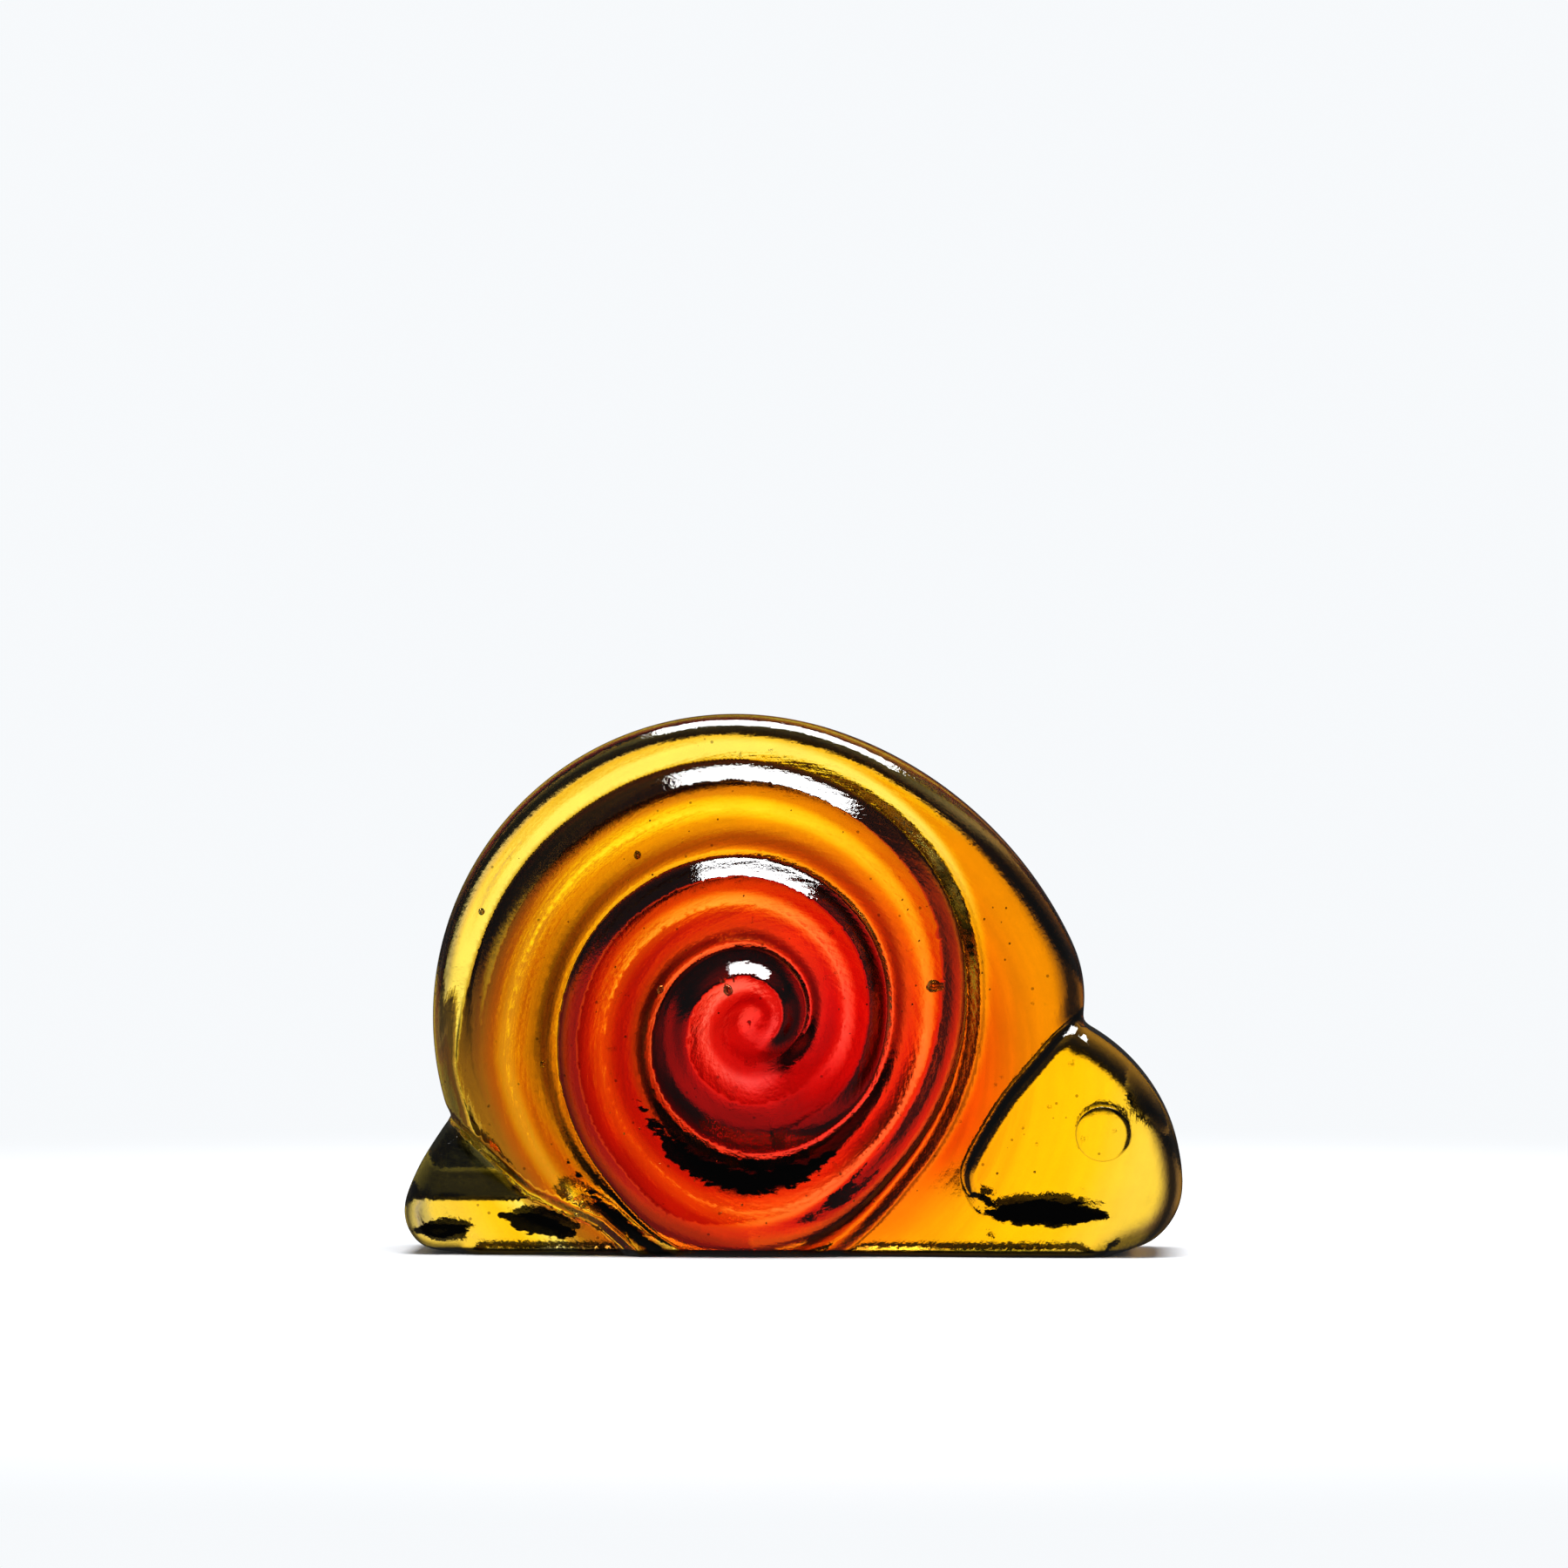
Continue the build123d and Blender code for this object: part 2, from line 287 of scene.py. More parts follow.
@dataclass(frozen=True)
class Spiral:
    """The moulded groove that winds out from the apex."""

    centre: Pair = (-5.052 * MM, 30.3 * MM)
    oval: Pair = (41.298 * MM, 39.1 * MM)
    first_angle: float = -90.0
    eighth: float = 45.0
    radius_shares: tuple[float, ...] = (
        0.142, 0.150, 0.173, 0.205, 0.239, 0.258, 0.300, 0.380,
        0.440, 0.432, 0.427, 0.481, 0.539, 0.560, 0.600, 0.690,
        0.822, 0.682, 0.665, 0.762, 0.852, 0.872, 0.904, 1.070,
        1.070, 1.070,
    )
    limit_share: float = 0.93
    groove_start: float = -80.0
    groove_end: float = 980.0
    run_in: float = 80.0
    sampling: float = 2.0

    def share(self, angle: Points) -> Points:
        """Return the groove's radius as a share of the oval.

        Args:
            angle: Angles in degrees, counted on from turn to turn.

        Returns:
            One share for each angle.
        """
        shares = np.array(self.radius_shares)
        place = (np.asarray(angle, float) - self.first_angle) / self.eighth
        last = len(shares) - 1
        index = np.clip(np.floor(place).astype(int), 0, last - 1)
        t = np.clip(place - index, 0, 1)
        before, start = shares[np.maximum(index - 1, 0)], shares[index]
        end, after = shares[index + 1], shares[np.minimum(index + 2, last)]
        return np.minimum(cubic(before, start, end, after, t), self.limit_share)

    def oval_radius(self, angle: Points) -> Points:
        """Return the oval's radius at angles in degrees."""
        turn = np.radians(angle)
        return 1 / np.hypot(np.cos(turn) / self.oval[0], np.sin(turn) / self.oval[1])

    def locate(self, points: Points) -> Coil:
        """Find where points lie in the spiral.

        Args:
            points: Places in the middle plane.

        Returns:
            Their angles, from first_angle on, their shares and the grooves beside them.
        """
        off = points - np.array(self.centre)
        angle = np.degrees(np.arctan2(off[:, 1], off[:, 0]))
        angle = np.where(angle < self.first_angle, angle + 360, angle)
        share = np.hypot(off[:, 0], off[:, 1]) / self.oval_radius(angle)
        grooves = [self.share(angle + 360 * turn) for turn in range(3)]
        begun = smooth_step(self.first_angle, self.first_angle + self.run_in, angle)
        return Coil(angle, share, *grooves, begun)

    def line(self, start: float, end: float, step: float, shift: float = 0.0) -> Points:
        """Sample the groove between two angles.

        Args:
            start: First angle, in degrees.
            end: Last angle.
            step: Distance between samples.
            shift: Place between this groove, 0, and the one a turn inward, 1.

        Returns:
            Points along the line.
        """
        angle = np.linspace(start, end, int((end - start) / self.sampling) + 1)
        inner = self.share(angle - 360) * (angle - 360 >= self.first_angle)
        radius = mix(self.share(angle), inner, shift) * self.oval_radius(angle)
        turn = np.radians(angle)
        way = np.stack([np.cos(turn), np.sin(turn)], 1)
        return Line2.even(np.array(self.centre) + radius[:, None] * way, step)


@dataclass(frozen=True)
class Outline:
    """The silhouette, and the moulded lines that cross it."""

    step: float = 0.5 * MM
    line_step: float = 0.4 * MM
    eye_step: float = 0.3 * MM
    easings: int = 4
    beyond: float = 60 * MM
    shell_left: float = -46.35 * MM
    shell_length: float = 83.7 * MM
    snail_height: float = 69.4 * MM
    shell_arc_shares: tuple[Pair, ...] = ((0.175, 0.0), (0.0, 0.4395), (0.614, 0.971))
    shell_fall_shares: tuple[Pair, ...] = ((0.9815, 0.576), (0.978, 0.360))
    nose_x: float = 50.0 * MM
    head_length: float = 27.2 * MM
    neck_height: float = 30.8 * MM
    head_arc_shares: tuple[Pair, ...] = ((0.717, 1.031), (0.368, 0.904), (0.118, 0.668))
    head_fall_shares: tuple[Pair, ...] = ((0.0, 0.308), (0.165, 0.052))
    chin_rest_share: Pair = (0.331, 0.0)
    tail_tip_x: float = -50.0 * MM
    tail_length: float = 26.0 * MM
    tail_height: float = 17.4 * MM
    tail_shares: tuple[Pair, ...] = (
        (0.270, 0.0), (0.080, 0.070), (0.0, 0.300), (0.060, 0.625), (0.200, 0.985),
    )
    tail_line_shares: tuple[Pair, ...] = ((0.200, 0.985), (0.627, 0.425), (0.965, 0.207), (1.120, 0.0))
    neck_shares: tuple[Pair, ...] = (
        (0.474, 1.0), (0.680, 0.789), (0.812, 0.649), (0.919, 0.500),
        (0.982, 0.393), (0.998, 0.310), (0.940, 0.195),
    )
    neck_overrun: float = 8 * MM
    throat: float = 1.5 * MM
    arch_shares: tuple[Pair, ...] = ((0.940, 0.195), (1.360, 0.110), (1.728, 0.0))
    jaw_front_share: Pair = (0.330, 0.180)
    jaw_end_share: Pair = (0.300, 0.0)
    eye_share: Pair = (0.375, 0.514)
    eye_radius: float = 3.5 * MM

    @property
    def fine(self) -> float:
        """Return the distance between samples before they are placed evenly."""
        return self.step / 4

    @property
    def eye_centre(self) -> Points:
        """Return the middle of the eye."""
        return self.head_point(self.eye_share)

    def shell_point(self, share: Pair) -> Points:
        """Return a point of the shell from its shares."""
        return np.array([self.shell_left + share[0] * self.shell_length, share[1] * self.snail_height])

    def head_point(self, share: Pair) -> Points:
        """Return a point of the head from its shares."""
        return np.array([self.nose_x - share[0] * self.head_length, share[1] * self.neck_height])

    def tail_point(self, share: Pair) -> Points:
        """Return a point of the tail from its shares."""
        return np.array([self.tail_tip_x + share[0] * self.tail_length, share[1] * self.tail_height])

    def shell_ring(self) -> Points:
        """Trace the shell's outline.

        Returns:
            Points from the heel round to the base below the hip.
        """
        ring = Line2.arc(*map(self.shell_point, self.shell_arc_shares), self.fine)
        for share in self.shell_fall_shares:
            ring = np.vstack([ring, Line2.tangent_arc(ring, self.shell_point(share), self.fine)])
        fall = ring[-1] - ring[-2]
        foot = ring[-1] - fall * ring[-1][1] / fall[1]
        return np.vstack([ring, Line2.even(np.array([ring[-1], foot]), self.fine)[1:]])

    def head_ring(self) -> Points:
        """Trace the head's outline.

        Returns:
            Points from the nape round the nose to the base.
        """
        ring = Line2.arc(*map(self.head_point, self.head_arc_shares), self.fine)
        for share in self.head_fall_shares:
            ring = np.vstack([ring, Line2.tangent_arc(ring, self.head_point(share), self.fine)])
        return np.vstack([ring, self.head_point(self.chin_rest_share)])

    def ring(self) -> Points:
        """Trace the whole silhouette but the base.

        Returns:
            Points from the tail over to the chin.
        """
        tail = Line2.curve(np.array([self.tail_point(share) for share in self.tail_shares]), self.fine)
        shell, head = self.shell_ring(), self.head_ring()
        tail = tail[~Line2.inside(tail, shell)]
        reaches = np.argmin(np.linalg.norm(shell - tail[-1], axis=1))
        shell = shell[reaches + 1 :]
        body = np.vstack([head, [head[0][0], 0.0]])
        shell = shell[: np.argmax(Line2.inside(shell, body))]
        leaves = np.argmin(np.linalg.norm(head - shell[-1], axis=1))
        eased = Line2.even(np.vstack([tail, shell, head[leaves + 1 :]]), self.step)
        for _ in range(self.easings):
            eased[1:-1] = (eased[:-2] + 2 * eased[1:-1] + eased[2:]) / 4
        eased[:, 1] = np.maximum(eased[:, 1], 0)
        return eased

    def neck(self) -> Points:
        """Trace the line between shell and head.

        Returns:
            Points from above the notch to the jaw.
        """
        line = Line2.curve(np.array([self.head_point(share) for share in self.neck_shares]), self.line_step)
        way = (line[0] - line[3]) / np.linalg.norm(line[0] - line[3])
        return np.vstack([line[:1] + way * self.neck_overrun, line])

    def arch(self) -> Points:
        """Return the line between the foot and the body behind it."""
        return Line2.arc(*map(self.head_point, self.arch_shares), self.line_step)

    def jaw(self) -> Points:
        """Return the line under the head, from the throat to the chin."""
        return np.array([self.neck()[-1], self.head_point(self.jaw_front_share)])

    def tail_line(self) -> Points:
        """Return the line where the shell rests on the tail, with a run beyond its notch."""
        line = np.array([self.tail_point(share) for share in self.tail_line_shares])
        return np.vstack([2 * line[0] - line[1], line])

    def tail_zone(self) -> Points:
        """Return a ring round everything behind the tail line."""
        line = self.tail_line()
        return np.vstack([line, [[-self.beyond, 0.0]], [[-self.beyond, line[0][1]]]])

    def front_zone(self) -> Points:
        """Return a ring round everything in front of the neck and the arch."""
        neck, arch = self.neck(), self.arch()
        return np.vstack([neck, arch[1:], [[self.beyond, 0.0]], [[self.beyond, neck[0][1]]]])

    def head_zone(self) -> Points:
        """Draw a ring round everything in front of the neck, down to the base.

        Returns:
            Corners of the ring.
        """
        neck = self.neck()
        below = [[neck[-1][0] + self.throat, 0.0], [self.beyond, 0.0], [self.beyond, neck[0][1]]]
        return np.vstack([neck, below])

    def foot_zone(self) -> Points:
        """Return a ring round the foot."""
        ends = [self.head_point(self.jaw_end_share), self.head_point(self.jaw_front_share)]
        return np.vstack([self.arch(), ends])

    def eye_ring(self) -> Points:
        """Return the ring round the eye, closed."""
        return Line2.sweep(self.eye_centre, self.eye_radius, 0, 2 * math.pi, self.eye_step)


@dataclass(frozen=True)
class Relief:
    """Half the thickness of the glass at every place of the silhouette.

    Angles are those of the groove outside a place, in degrees from turn to turn.
    A place across a whorl is 0 at its inner groove and 1 at its outer one.
    """

    spiral: Spiral = field(default_factory=Spiral)
    outline: Outline = field(default_factory=Outline)
    apex_half: float = 15.0 * MM
    apex_dip: float = 0.35 * MM
    first_crest: float = 14.8 * MM
    last_crest: float = 11.9 * MM
    first_groove: float = 13.0 * MM
    last_groove: float = 9.5 * MM
    crest_from: float = 280.0
    crest_to: float = 885.0
    crest_overrun: float = 1.1
    groove_overrun: float = 1.05
    shoulder_drop: float = 0.62 * MM
    shoulder_places: Pair = (0.54, 0.86)
    rise_from: float = 0.05
    rise_width: float = 0.42
    rise_bend: float = 0.5
    wall_from: float = 0.76
    soft_wall_from: float = 0.52
    apex_wall_from: float = 0.62
    wall_to: float = 0.985
    wall_bend: float = 0.3
    soft_opens: Pair = (600, 640)
    soft_closes: Pair = (680, 760)
    last_groove_fades: Pair = (870, 930)
    faded_rise: float = 1.6 * MM
    band: float = 9.6 * MM
    band_blend_share: float = 0.06
    head: float = 10.8 * MM
    foot: float = 10.4 * MM
    foot_reaches_x: Pair = (12 * MM, 30 * MM)
    foot_fades_z: Pair = (6 * MM, 13 * MM)
    jaw_lead: float = 1.2 * MM
    jaw_blend: float = 3.2 * MM
    neck_blend: Pair = (-1.3 * MM, 1.1 * MM)
    tail: float = 9.0 * MM
    tail_ridge: float = 3.2 * MM
    tail_side: float = 7.2 * MM
    tail_lip: float = 1.0 * MM
    tail_blend: float = 1.8 * MM
    tail_reach: float = 4 * MM
    rim_round: float = 3.5 * MM
    right_round: float = 4.8 * MM
    right_round_x: Pair = (8 * MM, 26 * MM)
    head_round: float = 4.2 * MM
    head_round_x: Pair = (36 * MM, 38 * MM)
    tail_round: float = 2.4 * MM
    tail_round_x: Pair = (-42 * MM, -46 * MM)
    base_round: float = 0.7 * MM
    eye_rise: float = 0.4 * MM
    eye_power: float = 2.4
    least: float = 0.4 * MM
    tiny: float = 0.03 * MM

    def crest(self, angle: Points) -> Points:
        """Return the crest's half thickness at angles."""
        share = np.clip((angle - self.crest_from) / (self.crest_to - self.crest_from), 0, self.crest_overrun)
        return mix(self.first_crest, self.last_crest, share)

    def groove(self, angle: Points) -> Points:
        """Return the groove's half thickness.

        Args:
            angle: Angles of the groove.

        Returns:
            One half thickness for each angle.
        """
        start = self.crest_from - 360
        share = np.clip((angle - start) / (self.crest_to - start), 0, self.groove_overrun)
        return mix(self.first_groove, self.last_groove, share)

    def whorl(self, share: Points, inner: Points, outer: Points, angle: Points) -> Points:
        """Return the half thickness across a whorl.

        Args:
            share: Place as a share of the oval.
            inner: The inner groove's share, 0 at the apex.
            outer: The outer groove's share.
            angle: Angle of the outer groove.

        Returns:
            Half thickness.
        """
        place = np.clip((share - inner) / np.maximum(outer - inner, LEAST_SHARE), 0, 1)
        crest, low = self.crest(angle), self.groove(angle)
        land = np.where(inner > 0, self.groove(angle - 360), crest - self.apex_dip)
        drop = self.shoulder_drop * smooth_step(*self.shoulder_places, place)
        rise = np.clip((place - self.rise_from) / self.rise_width, 0, 1)
        top = mix(land, crest, mix(rise, smooth_step(0, 1, rise), self.rise_bend)) - drop
        soft = window(self.soft_opens, self.soft_closes, angle)
        wall_from = mix(self.wall_from, self.soft_wall_from, soft)
        wall_from = np.where(inner > 0, wall_from, self.apex_wall_from)
        fall = np.clip((place - wall_from) / (self.wall_to - wall_from), 0, 1)
        faded = smooth_step(*self.last_groove_fades, angle)
        low = mix(low, np.minimum(crest, low + self.faded_rise), faded)
        bend = self.wall_bend + (1 - self.wall_bend) * soft
        return mix(top, low, mix(fall, smooth_step(0, 1, fall), bend))

    def shell(self, points: Points) -> Points:
        """Return the half thickness of the coiled shell, without its rim.

        Args:
            points: Places in the middle plane.

        Returns:
            One half thickness for each point.
        """
        coil = self.spiral.locate(points)
        share, second, third = coil.share, coil.second, coil.third
        once, twice = coil.angle + 360, coil.angle + 720
        none = np.zeros_like(share)
        apex = self.whorl(share, none, coil.first, coil.angle)
        inner = np.where(share < coil.first, apex, self.whorl(share, coil.first, second, once))
        inner = mix(self.whorl(share, none, second, once), inner, coil.begun)
        middle = self.whorl(share, second, third, twice)
        edge = self.whorl(third, second, third, twice)
        beyond = mix(edge, self.band, smooth_step(0.0, self.band_blend_share, share - third))
        return np.where(share < second, inner, np.where(share < third, middle, beyond))

    def front(self, points: Points, height: Points) -> Points:
        """Put the head and the foot in place.

        Args:
            points: Places in the middle plane.
            height: The shell's half thickness there.

        Returns:
            The half thickness with both.
        """
        outline = self.outline
        coil = self.spiral.locate(points)
        x, z = points[:, 0], points[:, 1]
        ahead = smooth_step(*self.foot_reaches_x, x) * (1 - smooth_step(*self.foot_fades_z, z))
        body = np.where(coil.share >= coil.third, mix(height, self.foot, ahead), height)
        off = Line2.distance(points, outline.neck())
        side = np.where(Line2.inside(points, outline.head_zone()), off, -off)
        below_jaw = smooth_step(0, self.jaw_blend, outline.jaw()[0][1] + self.jaw_lead - z)
        level = mix(self.head, self.foot, below_jaw)
        return mix(body, level, smooth_step(*self.neck_blend, side))

    def back(self, points: Points, height: Points) -> Points:
        """Put the tail in place.

        Args:
            points: Places in the middle plane.
            height: The half thickness there without it.

        Returns:
            The half thickness with it.
        """
        outline = self.outline
        rise = (points[:, 1] - self.tail_side) / (outline.tail_height - self.tail_side)
        tail = mix(self.tail, self.tail_ridge, np.clip(rise, 0, 1))
        off = Line2.distance(points, outline.tail_line())
        shell = mix(np.minimum(tail + self.tail_lip, height), height, smooth_step(0, self.tail_blend, off))
        in_tail = Line2.inside(points, outline.tail_zone())
        left = points[:, 0] < outline.tail_line()[-1][0] + self.tail_reach
        return np.where(in_tail, tail, np.where(left, shell, height))

    def button(self, points: Points) -> Points:
        """Return how far an eye stands out at points."""
        off = np.linalg.norm(points - self.outline.eye_centre, axis=1) / self.outline.eye_radius
        return self.eye_rise * np.sqrt(1 - np.clip(off, 0, 1) ** self.eye_power)

    @staticmethod
    def rounded(height: Points, radius: Points, off: Points) -> Points:
        """Round an edge off.

        Args:
            height: Half thickness before.
            radius: Radius of the round.
            off: Distance from the edge.

        Returns:
            Half thickness after.
        """
        inset = radius - np.clip(off, 0, radius)
        return height - radius + np.sqrt(np.maximum(radius**2 - inset**2, 0))

    def measure(self, points: Points) -> Points:
        """Return the half thickness of the whole pressing, without its eyes.

        Args:
            points: Places in the middle plane.

        Returns:
            One half thickness for each point.
        """
        height = self.back(points, self.front(points, self.shell(points)))
        off = Line2.distance(points, self.outline.ring())
        x, z = points[:, 0], points[:, 1]
        behind = smooth_step(*self.tail_round_x, x) * (z < self.outline.tail_height)
        radius = mix(self.rim_round, self.right_round, smooth_step(*self.right_round_x, x))
        radius = mix(radius, self.tail_round, behind)
        radius = mix(radius, self.head_round, smooth_step(*self.head_round_x, x))
        height = self.rounded(height, np.minimum(radius, height), off)
        return np.clip(self.rounded(height, self.base_round, z), self.least, self.apex_half)

    def slope(self, points: Points, eye: bool = False) -> Points:
        """Return how the half thickness changes along x and z.

        Args:
            points: Places in the middle plane.
            eye: Whether the eye counts.

        Returns:
            Rows of two slopes.
        """
        found = []
        for way in np.eye(2) * self.tiny:
            rise = self.measure(points + way) - self.measure(points - way)
            if eye:
                rise = rise + self.button(points + way) - self.button(points - way)
            found.append(rise / (2 * self.tiny))
        return np.stack(found, 1)


@dataclass(frozen=True)
class ShadePatch:
    """A ragged patch of painted shade, where the glass is drawn black, widest half way along."""

    start: Pair
    end: Pair
    half: float
    end_share: float = 0.25
    bulge: float = 3.0

    def depth(self, points: Points) -> Points:
        """Measure how far inside the patch points lie.

        Args:
            points: Places in the middle plane.

        Returns:
            Depths, less than 0 outside it.
        """
        start = np.array(self.start)
        way = np.array(self.end) - start
        share = np.clip(((points - start) @ way) / (way @ way), 0, 1)
        off = np.linalg.norm(points - start - share[:, None] * way, axis=1)
        return self.half * (self.end_share + self.bulge * share * (1 - share)) - off


@dataclass(frozen=True)
class ShadeLines:
    """The painted shade lines at the neck, beside the eye and along the base.

    Widths and heights are in millimetres and angles in degrees.
    """

    outline: Outline
    neck_half: float = 0.40
    neck_shift: float = 0.30
    neck_opens_z: Pair = (7.0, 9.5)
    neck_close: float = 0.3
    neck_closes_z: Pair = (7.5, 6.5)
    eye_opens: Pair = (-75, -10)
    eye_closes: Pair = (50, 105)
    eye_half: float = 0.48
    eye_close: float = 0.16
    eye_reach: float = 3.3
    base_height: float = 0.95

    def depth(self, points: Points, neck: Points) -> Points:
        """Measure how far inside a painted shade line points lie.

        Args:
            points: Places in the middle plane.
            neck: How far they lie in front of the neck line.

        Returns:
            Millimetres, over 0 on a line.
        """
        # Painted shade in the neck's groove, in a crescent inside the eye's edge and along the base.
        z = points[:, 1] / MM
        line = self.neck_half * smooth_step(*self.neck_opens_z, z) - np.abs(neck / MM + self.neck_shift)
        line = line - self.neck_close * smooth_step(*self.neck_closes_z, z)
        off = points - self.outline.eye_centre
        reach, turn = np.hypot(*off.T) / MM, np.degrees(np.arctan2(off[:, 1], off[:, 0]))
        arc = self.eye_half * window(self.eye_opens, self.eye_closes, turn)
        arc = arc - self.eye_close - np.abs(reach - self.eye_reach)
        return np.maximum(np.maximum(line, arc), self.base_height - z)


@dataclass(frozen=True)
class Edges:
    """The painted shade of the rounded rim, the base and the tail's sloping facets, and a painted highlight
    beside the tail line.
    """

    outline: Outline
    # Painted shade on the rounded rim: grey olive on the left, near black on the right, where the rim bends
    # in dim light from the sides.
    left_rim_shade: Colour = (0.28, 0.24, 0.15)
    right_rim_shade: Colour = (0.12, 0.050, 0.045)
    right_x: Pair = (8 * MM, 34 * MM)
    rim_from: float = 1.4 * MM
    rim_to: float = 2.8 * MM
    rim_wider: float = 1.0 * MM
    rim_z: Pair = (0.5 * MM, 4 * MM)
    # Painted shade along the base.
    base_shade: float = 0.3
    base_z: Pair = (0.4 * MM, 1.3 * MM)
    # Painted shade on the tail's upper sloping facet.
    facet_shade: Colour = (0.040, 0.037, 0.008)
    facet_z: Pair = (7.1 * MM, 7.5 * MM)
    facet_gap: Pair = (0.3 * MM, 1.0 * MM)
    # A painted highlight: a bright yellow line on the shell beside the tail line.
    gleam: Colour = (1.0, 0.78, 0.02)
    gleam_level: float = 0.8
    gleam_gap: Pair = (0.5 * MM, 1.1 * MM)
    gleam_x: float = -16 * MM
    gleam_z: float = 17 * MM

    def paint(self, points: Points, colour: Points) -> Points:
        """Lay the edges' painted shade and painted highlight over the glass.

        Args:
            points: Places in the middle plane.
            colour: Their colours.

        Returns:
            The colours with the edges in them.
        """
        outline = self.outline
        x, z = points[:, 0], points[:, 1]
        side = smooth_step(*self.right_x, x)
        rim_shade_colour = mix(np.array(self.left_rim_shade), np.array(self.right_rim_shade), side[:, None])
        off = Line2.distance(points, outline.ring())
        # Painted shade on the rim.
        rim = 1 - smooth_step(self.rim_from, self.rim_to + self.rim_wider * side, off)
        rim = rim * smooth_step(*self.rim_z, z)
        colour = mix(colour, rim_shade_colour, rim[:, None])
        # Painted shade along the base.
        shade = mix(self.base_shade, 1.0, smooth_step(*self.base_z, z))
        tail = Line2.inside(points, outline.tail_zone())
        gap = Line2.distance(points, outline.tail_line())
        # Painted shade on the tail's upper facet.
        facet_shade = tail * smooth_step(*self.facet_z, z) * smooth_step(*self.facet_gap, gap)
        colour = mix(colour, np.array(self.facet_shade), facet_shade[:, None])
        # Painted highlight beside the tail line.
        near = ~tail * (x < self.gleam_x) * (1 - smooth_step(*self.gleam_gap, gap)) * (z < self.gleam_z)
        colour = mix(colour, np.array(self.gleam), (self.gleam_level * near)[:, None])
        return colour * shade[:, None]


@dataclass(frozen=True)
class Tint:
    """The colour of the glass at every place: a hot spot's field, with painted shade and painted light over
    the relief.

    The whorls' walls and falls get painted shade and their crests painted light, for the light that the
    slopes bend away or let straight through.
    A deepening is a power that the colour is raised to, and a shade a factor.
    The stops are distances from the heart in millimetres, with red, green and blue.
    """

    relief: Relief = field(default_factory=Relief)
    heart: Pair = HEART
    stops: tuple[tuple[float, float, float, float], ...] = (
        (0.0, 0.66, 0.010, 0.010), (6.0, 0.80, 0.014, 0.010), (12.0, 0.96, 0.028, 0.011),
        (17.0, 1.0, 0.072, 0.008), (21.0, 1.0, 0.125, 0.003), (24.5, 1.0, 0.190, 0.001),
        (28.0, 1.0, 0.300, 0.001), (31.0, 1.0, 0.395, 0.001), (34.0, 1.0, 0.450, 0.001),
        (38.0, 0.97, 0.470, 0.001), (42.0, 0.93, 0.490, 0.004), (48.0, 0.86, 0.545, 0.040),
    )
    # Places across a whorl and the apex, with the painted deepening and painted shade there: dark walls and
    # falls and pale crests, where the relief bends the light.
    whorl_places: tuple[float, ...] = (
        0.0, 0.06, 0.11, 0.24, 0.36, 0.42, 0.48, 0.56, 0.63, 0.72, 0.78, 0.97, 1.0,
    )
    whorl_painted_deep: tuple[float, ...] = (0.75, 0.8, 1.7, 2.2, 1.9, 0.9, 0.6, 0.85, 2.4, 2.9, 2.9, 2.9, 0.9)
    whorl_painted_shade: tuple[float, ...] = (1.0, 1.0, 0.68, 0.52, 0.6, 1.0, 1.1, 0.9, 0.45, 0.34, 0.2, 0.16, 0.8)
    apex_places: tuple[float, ...] = (0.0, 0.20, 0.27, 0.37, 0.44, 0.55, 0.62, 0.69, 0.96, 1.0)
    apex_painted_deep: tuple[float, ...] = (0.8, 0.9, 2.0, 1.9, 0.6, 0.7, 1.8, 2.8, 2.8, 0.9)
    apex_painted_shade: tuple[float, ...] = (1.1, 1.0, 0.45, 0.5, 1.1, 1.0, 0.45, 0.12, 0.08, 0.8)
    # How much stronger or weaker the painted shade is on the left, the right and the low side of the spiral,
    # as the light falls there, and where it is softened.
    left_shade_gain: float = 0.15
    right_shade_loss: float = 0.30
    low_shade_loss: float = 0.15
    soft_opens: Pair = (590, 640)
    soft_closes: Pair = (690, 770)
    soft_again: Pair = (870, 925)
    soft_places: Pair = (0.55, 0.8)
    soft_shade_loss: float = 0.6
    lemon: Colour = (0.99, 0.71, 0.09)
    band_width: Pair = (2.0 * MM, 3.2 * MM)
    band_z: Pair = (-40 * MM, 10 * MM)
    pale_reach: Pair = (30 * MM, 36 * MM)
    rough_z: Pair = (6 * MM, 16 * MM)
    rough_deep: float = 0.6
    rough_shade: float = 0.25
    # Painted olive shade on the falls of the outer whorl, on the left of the spiral.
    olive_shade: Colour = (0.10, 0.075, 0.008)
    left_fall_shade_places: Pair = (0.52, 0.80)
    left_fall_shade_level: float = 0.6
    # Painted shade: black patches low on the rises of the inner and middle whorls.
    dark_opens: Pair = (212, 245)
    dark_closes: Pair = (284, 314)
    dark_again: Pair = (576, 604)
    dark_half: float = 0.100
    dark_place: float = 0.23
    dark_width: float = 8.5 * MM
    # Painted shade: black patches at the mouth, where the neck meets it, and low on the tail.
    shade_patches: tuple[ShadePatch, ...] = (
        ShadePatch((25.0 * MM, 5.8 * MM), (40.2 * MM, 5.6 * MM), 1.75 * MM),
        ShadePatch((22.9 * MM, 8.6 * MM), (25.6 * MM, 6.9 * MM), 0.5 * MM),
        ShadePatch((-37.0 * MM, 5.1 * MM), (-28.2 * MM, 2.8 * MM), 1.45 * MM),
        ShadePatch((-49.0 * MM, 3.1 * MM), (-41.6 * MM, 3.1 * MM), 0.85 * MM),
    )

    def reach(self, points: Points) -> Points:
        """Return how far points lie from the heart."""
        return np.hypot(*(points - np.array(self.heart)).T)

